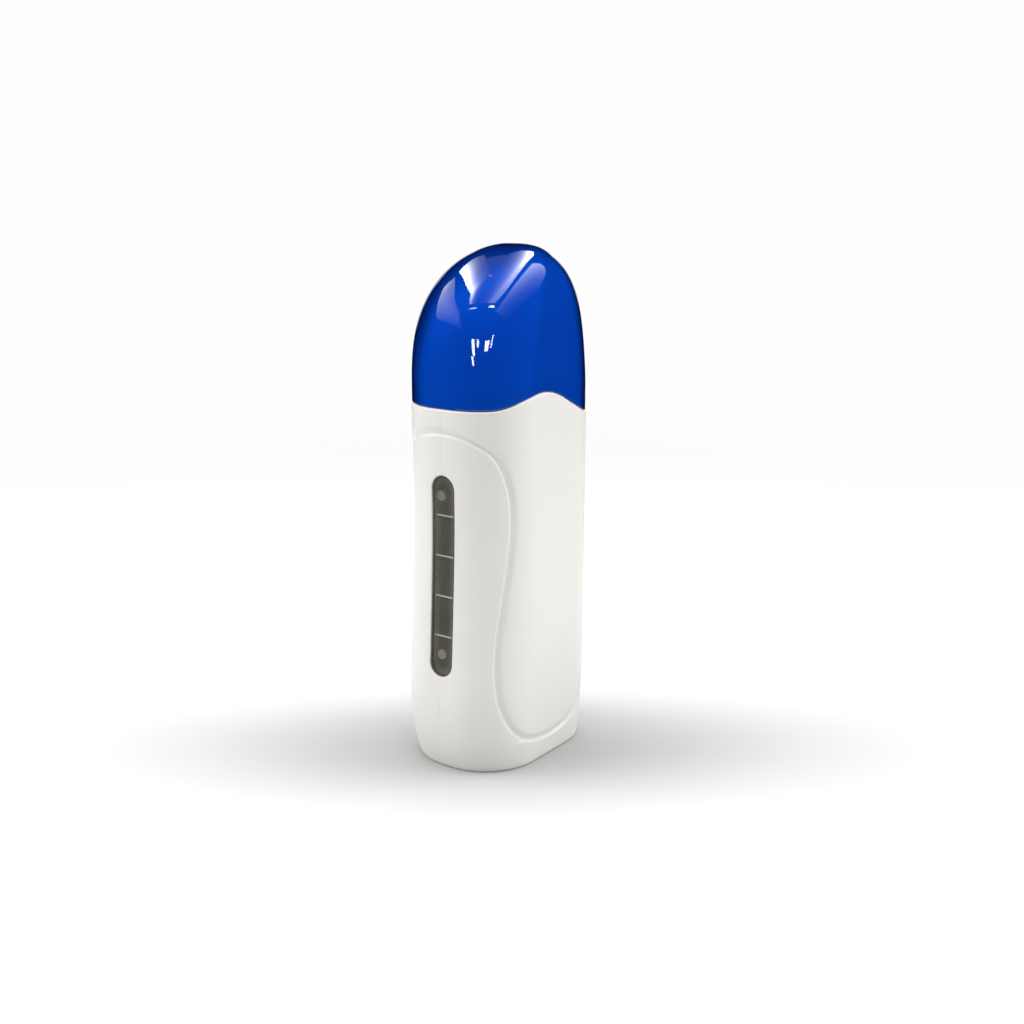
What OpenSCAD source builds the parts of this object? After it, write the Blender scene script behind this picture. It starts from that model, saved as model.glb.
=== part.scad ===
// Hand-held heater for a roll-on wax cartridge.
// Two half shells meet on the plane x = 0 and hold a sleeve for the cartridge, a small electric
// heater on one side of it, a viewing window at the front and a mains inlet at the back.
// A tall translucent cap lifts off the top. The front, with the window, faces -Y.

/* [Overall size] */
// Height from the surface it stands on to the top of the cap
total_h = 205; // [203:0.5:208]
// Front to back, at the belly of the body
depth = 76; // [76:0.2:78]
// Side to side, across the two large faces
width = 55.6; // [55.4:0.2:58]
// Wall of the two half shells
wall = 2.2; // [2:0.1:2.3]
// Corner radius at the front, seen from above
corner_front = 23.8; // [22:0.1:24.5]
// Corner radius at the back, seen from above
corner_back = 20; // [19:0.5:22]
// Rounding of the bottom edge
base_round = 1.2; // [0.8:0.1:1.8]

/* [Cap] */
// Height where the body's mouth lies at the front
mouth_h = 145.4; // [145:0.1:146]
// Wall of the cap
cap_wall = 1.8; // [1.6:0.1:1.9]
// Gap between the cap's rim and the body's mouth
cap_gap = 0.4; // [0.3:0.05:0.5]
// How far the cap's side lies inside the body's
cap_inset = 0.3; // [0.2:0.05:0.4]
// Depth of the lip that plugs into the mouth
lip_h = 4; // [3:0.5:5]
// Thickness of that lip
lip_t = 1.2; // [1:0.1:1.3]
// Clearance of the lip in the mouth
lip_gap = 0.3; // [0.25:0.05:0.4]
// How far the highest point lies behind the middle
apex_back = 12.7; // [11:0.1:14]

/* [Window] */
// Width of the slot
window_w = 11; // [10:0.2:12]
// Lower end of the slot
window_low = 39.3; // [38:0.1:42]
// Upper end of the slot
window_high = 119.8; // [116:0.1:121]
// Spaces that the level bars divide the window into
window_spaces = 5; // [4:1:6]
// Depth of the pane below the outer surface
pane_recess = 1.8; // [1.6:0.1:2]
// Depth of its rim below the outer surface
rim_depth = 0.4; // [0.3:0.1:0.6]
// Width of that rim
rim_w = 0.8; // [0.6:0.1:1]

/* [Groove] */
// Width of the groove that outlines the grip
groove_w = 2.8; // [2.4:0.1:3.2]
// Depth of that groove
groove_depth = 0.8; // [0.5:0.1:1]

/* [Cartridge sleeve] */
// Inner width of the sleeve, side to side
well_w = 36; // [35.6:0.1:36.2]
// Inner depth of the sleeve, front to back
well_d = 56; // [55:0.2:56.2]
// Corner radius inside the sleeve
well_r = 11.5; // [10:0.5:12]
// Height of the sleeve's floor
well_floor = 24; // [24:0.5:26]
// Height of the sleeve's top flange
flange_h = 133; // [132:0.1:133.2]
// Wall of the sleeve
sleeve_wall = 1.5; // [1.3:0.1:1.6]

/* [Mains inlet] */
// Distance between the two pins
pin_pitch = 8.6; // [8.6]
// Diameter of a pin
pin_d = 2.4; // [2.4]
// Free length of a pin
pin_len = 9.5; // [9:0.1:10]
// Height of the inlet's centre
inlet_z = 12; // [11.6:0.1:12.4]

/* [Hidden] */

white = "#eceae6";
cap_blue = "#0a46c0";
smoke = "#4b4b41";
dark_grey = "#55564c";
metal = "#b8bcc0";
black = "#2b2b2d";

// Lines of the body, each as [share of body_ref, distance in from the box]
body_ref = 150;
front_line = [[0, 3.8], [0.08, 1.2], [0.19, 0], [0.34, 1.5], [0.68, 3.7], [1, 3.0]];
back_line = [[0, 2.8], [0.09, 1.9], [0.34, 1.4], [0.7, 0.1], [0.86, 0], [1, 0.2]];
side_line = [[0, 1.7], [0.1, 0.8], [0.25, 0.1], [0.34, 0], [0.7, 0.9], [1, 0.8]];

// Edge of the body's mouth seen from the side, as [y, height above mouth_h]
mouth_line = [[-39, 0], [-27, 0.3], [-15, 3.8], [-5, 5.1], [4, 3.4], [16, -2.3], [25, -6.1], [39, -7.4]];

// Curves of the cap, each as [height where it leaves the upright, two powers]. The front is a
// ramp and a round dome in these shares, the back and the sides are one curve each.
ramp = [150, 2.85, 1];
dome = [150, 2.65, 2];
ramp_share = 0.56;
nape = [149, 1.7, 1.83];
flank = [153, 4.4, 2.65];
// Corner radii at the apex, and how late each shrinks to it
apex_corner_front = [6.5, 3.6];
apex_corner_back = [10, 2.5];
dome_top = total_h + cap_inset;

// Groove's centre line from the middle of a large face to the front centre line, as
// [way round the body from the front centre line, height]. The back half mirrors it, with its
// arch pressed down above the waist to clear the lower mouth there.
half_girth = 107;
waist_z = 100;
back_arch = 0.73;
groove_line = [[53.5, 9.3], [42, 11], [33, 16], [27, 27], [24.2, 42], [24.5, 58], [27.2, 80],
               [28.9, 100], [27.5, 116], [22.5, 128.5], [13, 135.4], [0, 137.6]];
groove_steps = 23;

arc_steps = 8;
side_steps = 6;
ring_step = 7;

pin_x = pin_pitch / 2;
well_x = well_w / 2;
well_y = well_d / 2;
sleeve_x = well_x + sleeve_wall;
sleeve_y = well_y + sleeve_wall;

plate_t = 1.2;
plate_d = 32;
plate_low = 32;
plate_high = 112;
stack_d = 24;
stack_low = 44;
stack_high = 98;
film_t = 0.2;
electrode_t = 0.4;
chip_t = 2;
mica_t = 0.4;
clamp_t = 0.6;
opening_d = 26;
opening_low = 39.5;
opening_high = 102.5;
stack_x = -well_x;
film_x = stack_x - 2 * film_t - 2 * electrode_t - chip_t;
mica_x = film_x - mica_t;
clamp_x = mica_x - clamp_t;
clamp_screw_z = [36, 106];
rivet_spots = [[-10.5, 37], [10.5, 37], [-10.5, 105], [10.5, 105]];
spring_rivet_z = [52, 92];
tab_out = 10;

inlet_depth = 16;
inlet_face = 35.9;
lobe_r = 4.2;
root_r = 0.9;
cavity_depth = 12.5;
tab_len = 5;
terminal_y = inlet_face - inlet_depth - tab_len - 0.9;

// Screws that pull the halves together, as [y, z], and the snap tongues above them, as
// [1 at the back or -1 at the front, height]
screw_spots = [[-22, 11], [2, 11]];
tongue_spots = [[1, 60], [1, 98], [1, 125], [-1, 125.5]];
screw_r = 1.4;
screw_boss_r = 4.2;
head_r = 2.6;
head_t = 1.8;
screw_seat = -6;
screw_len = 13;
lead_r = 0.9;

// ---- Curves and sections ---------------------------------------------------------------------

// Slope of a line of points at point k, from its neighbours, and level at the last point
function slope(line, k) =
    let(a = line[max(k - 1, 0)], b = line[min(k + 1, len(line) - 1)])
    k == len(line) - 1 ? 0 : (b[1] - a[1]) / (b[0] - a[0]);

// Value at x of the smooth curve through [x, value] points
function along(line, x) =
    let(last = len(line) - 2,
        inside = [for (k = [0:last]) if (x >= line[k][0]) k],
        k = len(inside) == 0 ? 0 : max(inside),
        a = line[k], b = line[k + 1], h = b[0] - a[0],
        t = min(max((x - a[0]) / h, 0), 1))
    (2 * pow(t, 3) - 3 * t * t + 1) * a[1] + (pow(t, 3) - 2 * t * t + t) * h * slope(line, k)
    + (3 * t * t - 2 * pow(t, 3)) * b[1] + (pow(t, 3) - t * t) * h * slope(line, k + 1);

// Point at share t of the smooth path through points, which are taken as evenly spaced
function on_path(points, t) =
    let(last = len(points) - 1, u = min(max(t, 0), 1) * last, k = min(floor(u), last - 1), f = u - k,
        a = points[max(k - 1, 0)], b = points[k], c = points[k + 1], d = points[min(k + 2, last)])
    0.5 * (2 * b + (c - a) * f + (2 * a - 5 * b + 4 * c - d) * f * f
           + (3 * b - a - 3 * c + d) * pow(f, 3));

function mouth_z(y) = mouth_h + along(mouth_line, y);

// How far a curve of the cap still stands out at a height, from 1 at its foot to 0 at the apex
function rise_from(h, z) = min(max((z - h) / (dome_top - h), 0), 1);
function bulge(z, curve) = pow(1 - pow(rise_from(curve[0], z), curve[1]), 1 / curve[2]);

// Front, back and half width of the outer surface at a height, with the cap's dome on top
function front_y(z) =
    let(y = -(depth / 2 - along(front_line, min(z / body_ref, 1))))
    apex_back + (y - apex_back) * (ramp_share * bulge(z, ramp) + (1 - ramp_share) * bulge(z, dome));
function back_y(z) =
    let(y = depth / 2 - along(back_line, min(z / body_ref, 1)))
    apex_back + (y - apex_back) * bulge(z, nape);
function half_x(z) =
    (width / 2 - along(side_line, min(z / body_ref, 1))) * bulge(z, flank);
function corner(base, apex, z) = base + (apex[0] - base) * pow(rise_from(body_ref, z), apex[1]);

// The section at a height, shrunk by an inset: [half width, front, back, front and back radius]
function section_sizes(z, inset) =
    let(w = max(half_x(z) - inset, 0.02),
        f = min(front_y(z) + inset, apex_back - 0.02), b = max(back_y(z) - inset, apex_back + 0.02),
        limit = min(w - 0.01, (b - f) / 2 - 0.005),
        rf = max(min(corner(corner_front, apex_corner_front, z) - inset, limit), 0.005),
        rb = max(min(corner(corner_back, apex_corner_back, z) - inset, limit), 0.005))
    [w, f, b, rf, rb];

// Point k of the right half of the section, from the front centre line to the back one
half_last = 2 * arc_steps + side_steps + 2;
function section_point(k, z, inset) =
    let(s = section_sizes(z, inset), w = s[0], f = s[1], b = s[2], rf = s[3], rb = s[4],
        side = k - arc_steps - 1, back = side - side_steps,
        a = 90 * (k - 1) / arc_steps, c = 90 * back / arc_steps)
    k == 0 ? [0, f]
    : k == half_last ? [0, b]
    : side <= 0 ? [w - rf + rf * sin(a), f + rf - rf * cos(a)]
    : back < 0 ? [w, f + rf + (b - rb - f - rf) * side / side_steps]
    : [w - rb + rb * cos(c), b - rb + rb * sin(c)];

// Point i of the whole section, counted once round
whole_count = 2 * half_last;
function whole_point(i, z, inset) =
    i <= half_last ? section_point(i, z, inset)
    : let(p = section_point(whole_count - i, z, inset)) [-p[0], p[1]];
function whole_section(z, inset) = [for (i = [0:whole_count - 1]) whole_point(i, z, inset)];

function level(outline, z) = [for (p = outline) [p[0], p[1], z]];

// Point and outward direction on the body, at a way round from the front centre line
function round_body(s, z) =
    let(q = section_sizes(z, 0), w = q[0], f = q[1], b = q[2], rf = q[3], rb = q[4],
        s1 = w - rf, s2 = s1 + rf * PI / 2, s3 = s2 + b - rb - f - rf, s4 = s3 + rb * PI / 2,
        a = (s - s1) / rf * 180 / PI, c = (s - s3) / rb * 180 / PI)
    s < s1 ? [[s, f, z], [0, -1, 0]]
    : s < s2 ? [[s1 + rf * sin(a), f + rf - rf * cos(a), z], [sin(a), -cos(a), 0]]
    : s < s3 ? [[w, f + rf + s - s2, z], [1, 0, 0]]
    : s < s4 ? [[w - rb + rb * cos(c), b - rb + rb * sin(c), z], [cos(c), sin(c), 0]]
    : [[max(w - rb - (s - s4), 0), b, z], [0, 1, 0]];

// ---- Building helpers ------------------------------------------------------------------------

// Solid through closed loops of points, all of one length, with a fan over each end
module loft(loops) {
    n = len(loops[0]);
    m = len(loops);
    middle = function(loop) [for (k = [0:2]) [for (p = loop) p[k]] * [for (p = loop) 1] / n];
    points = concat([for (loop = loops) each loop], [middle(loops[0]), middle(loops[m - 1])]);
    skin = [for (i = [0:m - 2], j = [0:n - 1]) let(a = i * n + j, b = i * n + (j + 1) % n)
        each [[a, b + n, b], [a, a + n, b + n]]];
    first_end = [for (j = [0:n - 1]) [m * n, j, (j + 1) % n]];
    last_end = [for (j = [0:n - 1]) let(a = (m - 1) * n) [m * n + 1, a + (j + 1) % n, a + j]];
    polyhedron(points = points, faces = concat(skin, first_end, last_end), convexity = 6);
}

// The body's outer form, from a floor height up past its mouth
module body_form(inset, low, step) {
    round_z = inset > 0 ? [] : [for (a = [0:30:60]) base_round * (1 - cos(a))];
    rest = inset > 0 ? low : base_round;
    heights = concat(round_z, [for (z = [rest:step:body_ref + 6]) z], [body_ref + 8]);
    loft([for (z = heights)
        let(tuck = inset > 0 || z >= base_round ? 0
                   : base_round - sqrt(base_round * base_round - pow(base_round - z, 2)))
        level(whole_section(z, inset + tuck), z)]);
}

// Everything below the mouth's edge, as seen from the side
module under_mouth(drop) {
    edge = [for (y = [-40:2:40]) [y, mouth_z(y) - drop]];
    rotate([90, 0, 90])
        linear_extrude(height = width + 4, center = true)
            polygon(concat([[-40, -1]], edge, [[40, -1]]));
}

// A round bar along X, and one along Y
module bar_x(r, x1, x2, y, z) translate([x1, y, z]) rotate([0, 90, 0]) cylinder(r = r, h = x2 - x1, $fn = 32);
module bar_y(r, y1, y2, x, z) translate([x, y2, z]) rotate([90, 0, 0]) cylinder(r = r, h = y2 - y1, $fn = 32);

// A flat bar with round ends: upright along Z, or lying along X, through y1 to y2
module upright_slot(w, low, high, y1, y2) {
    translate([-w / 2, y1, low + w / 2]) cube([w, y2 - y1, high - low - w]);
    bar_y(w / 2, y1, y2, 0, low + w / 2);
    bar_y(w / 2, y1, y2, 0, high - w / 2);
}
module lying_slot(w, h, y1, y2, z) {
    translate([-(w - h) / 2, y1, z - h / 2]) cube([w - h, y2 - y1, h]);
    for (x = [-1, 1] * (w - h) / 2) bar_y(h / 2, y1, y2, x, z);
}

module box_between(a, b) translate(a) cube(b - a);

// Rectangle with round corners, about the origin
module round_rect(w, d, r) {
    square([w - 2 * r, d], center = true);
    square([w, d - 2 * r], center = true);
    for (x = [-1, 1] * (w / 2 - r), y = [-1, 1] * (d / 2 - r)) translate([x, y]) circle(r = r, $fn = 48);
}

// A round lead that follows points smoothly, with flat ends
module lead(points, r, steps) {
    sides = 8;
    spine = [for (i = [0:steps]) on_path(points, i / steps)];
    unit = function(v) v / max(norm(v), 0.0001);
    ring = function(i)
        let(ahead = unit(spine[min(i + 1, steps)] - spine[max(i - 1, 0)]),
            aside = unit(cross(ahead, [0.31, 0.87, 0.38])), up = cross(aside, ahead))
        [for (k = [0:sides - 1]) let(a = 360 * k / sides)
            spine[i] + r * (cos(a) * aside + sin(a) * up)];
    loft([for (i = [0:steps]) ring(i)]);
}

// ---- Cap and shells --------------------------------------------------------------------------

// One loop of the cap: share t of the way from its wavy rim to the apex, with an inset
function cap_loop(t, inset, drop) =
    let(top = dome_top - cap_inset - inset)
    [for (i = [0:whole_count - 1])
        let(rim = mouth_z(whole_point(i, body_ref, cap_inset + inset)[1]) + cap_gap - drop,
            z = rim + (top - rim) * t,
            p = whole_point(i, z + (cap_inset + inset) * t, cap_inset + inset))
        [p[0], p[1], z]];

module cap() {
    shares = [for (k = [0:12]) sin(min(7.4 * k, 88))];
    outer_lip = wall + lip_gap - cap_inset;
    inner_lip = outer_lip + lip_t;
    color(cap_blue)
        loft(concat([for (i = [len(shares) - 1:-1:0]) cap_loop(shares[i], 0, 0)],
                    [cap_loop(0, outer_lip, 0), cap_loop(0, outer_lip, lip_h),
                     cap_loop(0, inner_lip, lip_h), cap_loop(0, inner_lip, 0)],
                    [for (t = shares) if (t > 0) cap_loop(t, cap_wall, 0)]));
}

// The groove on one large face, as short round cuts along its centre line
module groove_cut() {
    r = (groove_w * groove_w / 4 + groove_depth * groove_depth) / (2 * groove_depth);
    spot = function(i, back) let(p = on_path(groove_line, i / groove_steps),
                                 z = back ? min(p[1], waist_z + back_arch * (p[1] - waist_z)) : p[1],
                                 q = round_body(back ? half_girth - p[0] : p[0], z))
        q[0] + (r - groove_depth) * q[1];
    for (back = [false, true], i = [0:groove_steps - 1])
        hull() {
            translate(spot(i, back)) sphere(r = r, $fn = 16);
            translate(spot(i + 1, back)) sphere(r = r, $fn = 16);
        }
}

// One half shell: side is 1 for the right one and -1 for the left one, which takes the screws
module half_shell(side) {
    left = side < 0;
    color(white)
    difference() {
        union() {
            difference() {
                intersection() {
                    body_form(0, 0, ring_step);
                    under_mouth(0);
                }
                body_form(wall, wall, 2 * ring_step);
            }
            intersection() {
                body_form(wall / 2, wall / 2, 2 * ring_step);
                union() {
                    for (p = screw_spots) bar_x(screw_boss_r, -width, width, p[0], p[1]);
                    for (x = [-14, 14], y = [-14, 18])
                        box_between([x - 2, y - 1, 0], [x + 2, y + 1, well_floor - sleeve_wall]);
                    flange_rib();
                }
            }
        }
        mirror([left ? 0 : 1, 0, 0]) box_between([0, -50, -5], [50, 50, total_h]);
        mirror([left ? 1 : 0, 0, 0]) groove_cut();
        upright_slot(window_w, window_low, window_high, -60, 0);
        lying_slot(20.2, 11.4, inlet_face - 6, 60, inlet_z);
        for (p = screw_spots)
            if (left) {
                bar_x(screw_r + 0.2, -width, 1, p[0], p[1]);
                bar_x(head_r + 0.4, -width, screw_seat, p[0], p[1]);
            } else bar_x(screw_r + 0.05, -1, screw_seat + screw_len + 2, p[0], p[1]);
    }
    if (!left) color(white) for (p = tongue_spots) tongue(p[0], p[1]);
}

// A tongue on the right shell that snaps in behind the left one's wall
module tongue(dir, z) {
    face = dir > 0 ? back_y(z) - wall : -front_y(z) - wall;
    mirror([0, dir > 0 ? 0 : 1, 0]) {
        box_between([-3, face - 1.4, z - 2.5], [3, face - 0.2, z + 2.5]);
        box_between([0.1, face - 1.4, z - 2.5], [3, face + 0.5, z + 2.5]);
    }
}

// Ledge inside the shells that carries the sleeve's flange
module flange_rib() {
    difference() {
        box_between([-40, -50, flange_h - 4.2], [40, 50, flange_h - 2.2]);
        translate([0, 0, flange_h - 10])
            linear_extrude(height = 20) polygon(whole_section(flange_h, wall + 1.4));
    }
}

module shell_right() half_shell(1);
module shell_left() half_shell(-1);

// ---- Window ----------------------------------------------------------------------------------

// A sheet that follows the front of the body, between two depths under its surface
module front_sheet(near, far, low, high, w) {
    steps = 16;
    heights = [for (i = [0:steps]) low + (high - low) * i / steps];
    rotate([90, 0, 90])
        linear_extrude(height = w, center = true)
            polygon(concat([for (z = heights) [front_y(z) + near, z]],
                           [for (i = [steps:-1:0]) [front_y(heights[i]) + far, heights[i]]]));
}

// A smoked tray: a flange behind the wall, a rim that lines the slot, and a sunken pane
module window_pane() {
    gap = 0.15;
    lap = 1.6;
    low = window_low;
    high = window_high;
    color(smoke)
    union() {
        difference() {
            intersection() {
                front_sheet(rim_depth, wall + 1.2, low - 1, high + 1, window_w + 2);
                upright_slot(window_w - 2 * gap, low + gap, high - gap, -60, 0);
            }
            intersection() {
                front_sheet(-1, pane_recess, low - 1, high + 1, window_w + 2);
                upright_slot(window_w - 2 * rim_w, low + rim_w, high - rim_w, -60, 0);
            }
        }
        intersection() {
            front_sheet(wall + 0.3, wall + 1.2, low - lap - 1, high + lap + 1, window_w + 8);
            upright_slot(window_w + 2 * lap, low - lap, high + lap, -60, 0);
        }
        for (i = [1:window_spaces - 1])
            level_bar(low + (high - low) * i / window_spaces);
    }
}

// A raised bar across the pane that marks the wax level
module level_bar(z) {
    intersection() {
        front_sheet(pane_recess - 0.4, pane_recess + 0.2, z - 2, z + 2, window_w - 1);
        box_between([-window_w, -60, z - 0.35], [window_w, 0, z + 0.35]);
    }
}

// ---- Sleeve and heater -----------------------------------------------------------------------

module cartridge_sleeve() {
    color(dark_grey)
    difference() {
        union() {
            translate([0, 0, well_floor - sleeve_wall])
                linear_extrude(height = flange_h - well_floor + sleeve_wall)
                    round_rect(2 * sleeve_x, 2 * sleeve_y, well_r + sleeve_wall);
            translate([0, 0, flange_h - 2])
                linear_extrude(height = 2) polygon(whole_section(flange_h, wall + 0.5));
        }
        translate([0, 0, well_floor]) linear_extrude(height = flange_h) round_rect(well_w, well_d, well_r);
        upright_slot(window_w + 2, window_low - 1, window_high + 1, -40, -well_y + 6);
        box_between([-sleeve_x - 1, -opening_d / 2, opening_low], [-well_x + 0.5, opening_d / 2, opening_high]);
        for (p = rivet_spots) bar_x(1.05, -sleeve_x - 1, -well_x + 1, p[0], p[1]);
        for (z = clamp_screw_z) bar_x(1.25, -sleeve_x - 1, -well_x + 1, 0, z);
        for (z = spring_rivet_z) bar_x(1.05, well_x - 1, sleeve_x + 1, 0, z);
    }
}

module heater_plate() {
    color(metal)
    difference() {
        box_between([-well_x, -plate_d / 2, plate_low], [-well_x + plate_t, plate_d / 2, plate_high]);
        for (p = rivet_spots) bar_x(1.05, -well_x - 1, -well_x + 2, p[0], p[1]);
        for (z = clamp_screw_z) bar_x(1.25, -well_x - 1, -well_x + 2, 0, z);
    }
}

// Domed rivet along X, with its head on the side that dir points to
module rivet(x_head, x_tail, y, z, dir) {
    grip = abs(x_tail - x_head);
    translate([x_head, y, z]) rotate([0, 90 * dir, 0]) rotate_extrude($fn = 32)
        polygon([[0, 0.8], [1, 0.75], [1.6, 0.45], [1.9, 0], [1, 0], [1, -grip],
                 [1.7, -grip], [1.5, -grip - 0.6], [0, -grip - 0.7]]);
}
module plate_rivets() color(metal)
    for (p = rivet_spots) rivet(-well_x + plate_t, -sleeve_x, p[0], p[1], 1);

module ptc_chips() {
    x = stack_x - film_t - electrode_t;
    color("#8a8078") for (z = [stack_low + 2, stack_high - 26])
        box_between([x - chip_t, -stack_d / 2 + 1, z], [x, stack_d / 2 - 1, z + 24]);
}

// A thin electrode with a solder tab at one end
module electrode(x, tab_y, tab_low, tab_high) {
    box_between([x - electrode_t, -stack_d / 2 + 0.5, stack_low + 1],
                [x, stack_d / 2 - 0.5, stack_high - 1]);
    box_between([x - electrode_t, tab_y - 1.5, tab_low], [x, tab_y + 1.5, tab_high]);
}
module electrode_inner() color(metal)
    electrode(stack_x - film_t, tab_out, stack_high - 2, stack_high + 3);
module electrode_outer() color(metal)
    electrode(stack_x - film_t - electrode_t - chip_t, -tab_out, stack_low - 3, stack_low + 2);

module insulation_film() {
    color("#c07a1c")
    difference() {
        box_between([film_x, -stack_d / 2, stack_low], [stack_x, stack_d / 2, stack_high]);
        box_between([film_x + film_t, -stack_d / 2 + film_t, stack_low - 1],
                    [stack_x - film_t, stack_d / 2 - film_t, stack_high + 1]);
    }
}

module mica_sheet() color("#b9ad93")
    box_between([mica_x, -stack_d / 2, stack_low], [film_x, stack_d / 2, stack_high]);

// Sprung strap over the stack, bent down to a foot at each end
module heater_clamp() {
    foot = -sleeve_x;
    low = clamp_screw_z[0];
    high = clamp_screw_z[1];
    bend_low = stack_low - 1.5;
    bend_high = stack_high + 1.5;
    color(metal)
    difference() {
        translate([0, 8, 0]) rotate([90, 0, 0]) linear_extrude(height = 16)
            polygon([[foot, low - 3], [foot - clamp_t, low - 3], [foot - clamp_t, low + 3.4],
                     [clamp_x, bend_low], [clamp_x, bend_high], [foot - clamp_t, high - 3.4],
                     [foot - clamp_t, high + 3], [foot, high + 3], [foot, high - 4],
                     [mica_x, bend_high - 0.6], [mica_x, bend_low + 0.6], [foot, low + 4]]);
        for (z = clamp_screw_z) bar_x(1.25, foot - 5, foot + 1, 0, z);
        for (y = [-5, 5]) box_between([clamp_x - 1, y - 1, stack_low + 8], [mica_x + 1, y + 1, stack_high - 8]);
    }
}
module clamp_screws() {
    seat = -sleeve_x - clamp_t;
    color(metal) for (z = clamp_screw_z)
        difference() {
            union() {
                bar_x(1.2, seat, -well_x + plate_t, 0, z);
                bar_x(2.2, seat - 1.2, seat, 0, z);
            }
            box_between([seat - 2, -2.5, z - 0.3], [seat - 0.6, 2.5, z + 0.3]);
        }
}

// Leaf that presses the cartridge against the heater plate
module pressure_spring() {
    low = spring_rivet_z[0] - 4;
    high = spring_rivet_z[1] + 4;
    mid = (low + high) / 2;
    t = 0.4;
    bow = 1.6;
    reach = (high - low) / 2 - 8;
    leaf = [for (i = [0:12]) let(u = i / 6 - 1) [well_x - t - bow * (1 + cos(180 * u)) / 2, mid + reach * u]];
    color(metal)
    difference() {
        translate([0, 6, 0]) rotate([90, 0, 0]) linear_extrude(height = 12)
            polygon(concat([[well_x, low], [well_x - t, low]], leaf, [[well_x - t, high], [well_x, high]],
                           [for (i = [12:-1:0]) leaf[i] + [t, 0]]));
        for (z = spring_rivet_z) bar_x(1.05, well_x - 3, well_x + 1, 0, z);
    }
}
module spring_rivets() color(metal)
    for (z = spring_rivet_z) rivet(well_x - 0.4, sleeve_x, 0, z, -1);

// ---- Wiring ----------------------------------------------------------------------------------

fuse_x = -22;
fuse_low = 112;
fuse_high = 123;
fuse_y = 2;
module thermal_fuse() {
    color("#c9b27a")
    translate([fuse_x, fuse_y, 0]) {
        translate([0, 0, fuse_low]) cylinder(r = 1.7, h = fuse_high - fuse_low, $fn = 32);
        translate([0, 0, fuse_low - 3]) cylinder(r = 0.4, h = fuse_high - fuse_low + 4.3, $fn = 24);
    }
}
module fuse_sleeve() {
    color("#efe9d8")
    translate([fuse_x, fuse_y, fuse_low]) difference() {
        cylinder(r = 2.1, h = fuse_high - fuse_low, $fn = 32);
        translate([0, 0, -1]) cylinder(r = 1.75, h = fuse_high, $fn = 32);
    }
}

lamp_spot = [0, -32.4, 26];
module indicator_lamp() {
    color("#d9c7b8")
    translate(lamp_spot) rotate_extrude($fn = 32)
        polygon([[0, 0], [1.9, 0], [1.9, 6.6], [1.5, 7.9], [0.6, 8.8], [0, 8.9]]);
}
module lamp_resistor() {
    color("#c8b48a")
    translate([5.5, -30.8, 12]) rotate_extrude($fn = 32)
        polygon([[0, 0], [1, 0], [1.2, 0.3], [1.2, 1.3], [1, 1.8], [1, 4.6], [1.2, 5.1], [1.2, 6], [1, 6.4], [0, 6.4]]);
}
module lamp_leads() {
    r = 0.35;
    color(black) {
        lead([[0.8, -32.4, 26], [0.9, -32.4, 24.6], [3.6, -31.4, 22], [5.5, -30.8, 20.4],
              [5.5, -30.8, 18.4]], r, 10);
        lead([[-0.8, -32.4, 26], [-0.9, -32.4, 24.6], [-2.5, -30, 16], [-4, -24, 6.4], [-5.6, -12, 4],
              [-6.4, 2, 4], [-5.6, 10, 6.4], [-pin_x, terminal_y - 1, 9.4], [-pin_x, 14.6, 10.5]], r, 24);
        lead([[5.5, -30.8, 12], [5.5, -30.6, 10.6], [5.4, -26, 5], [5.2, -15, 4], [5, -2, 4],
              [4.8, 9, 5.4], [pin_x, terminal_y - 1, 8.8], [pin_x, 14.6, 10.5]], r, 20);
    }
}

// The mains inlet: two round lobes side by side round two pins
module inlet_housing() {
    y_in = inlet_face - inlet_depth;
    color(black)
    difference() {
        union() {
            lying_slot(19.6, 10.8, y_in, inlet_face, inlet_z);
            box_between([-11.6, inlet_face - 5.4, inlet_z - 6.6], [11.6, inlet_face - 3.6, inlet_z + 6.6]);
        }
        for (x = [-1, 1] * pin_x) {
            bar_y(lobe_r, inlet_face - cavity_depth, inlet_face + 1, x, inlet_z);
            bar_y(root_r, y_in - 1, inlet_face, x, inlet_z);
        }
        box_between([-pin_x, inlet_face - cavity_depth, inlet_z - 3], [pin_x, inlet_face + 1, inlet_z + 3]);
    }
}
module inlet_pins() {
    base = inlet_face - cavity_depth;
    y_in = inlet_face - inlet_depth;
    color(metal) for (x = [-1, 1] * pin_x) {
        bar_y(pin_d / 2, base, base + pin_len, x, inlet_z);
        bar_y(root_r, y_in, base, x, inlet_z);
        box_between([x - 1.6, y_in - tab_len, inlet_z - 0.4], [x + 1.6, y_in, inlet_z + 0.4]);
    }
}

// Each lead ends straight: at a terminal on the inlet, at the fuse's crimp or flat on a tab
module live_lead() {
    color("#7a4a30")
    lead([[-pin_x, terminal_y - 0.01, inlet_z], [-pin_x, terminal_y - 1, inlet_z],
          [-pin_x, terminal_y - 2, inlet_z], [-6, 9.6, 13.4],
          [-9.5, 9.4, 17.4], [-14, 11, 18.6], [-19.6, 13.6, 20.2], [-22, 15.4, 27], [-22.2, 15.8, 40],
          [-22.2, 15.8, 58], [-22.2, 15.8, 76], [-22.2, 15.8, 94], [-22.2, 15.4, 108],
          [-22, 12.6, 119], [-22, 8, 126], [-22, 3.9, 129], [fuse_x, fuse_y, fuse_high + 4.8],
          [fuse_x, fuse_y, fuse_high + 3.1], [fuse_x, fuse_y, fuse_high + 1.4]], lead_r, 54);
}
module neutral_lead() {
    color("#3a6ea5")
    lead([[pin_x, terminal_y - 0.01, inlet_z], [pin_x, terminal_y - 1, inlet_z],
          [pin_x, terminal_y - 2, inlet_z], [3.6, 9.4, 15.6],
          [-1, 6, 19.6], [-7, 2, 20.2], [-14, -4, 19.6], [-19.6, -8.6, 21], [-22.4, -10, 27],
          [-22.8, -10, 35], [-22.6, -10, 40], [-21.9, -10, 42.2], [-21.02, -10, 42.4]], lead_r, 36);
}
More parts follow.
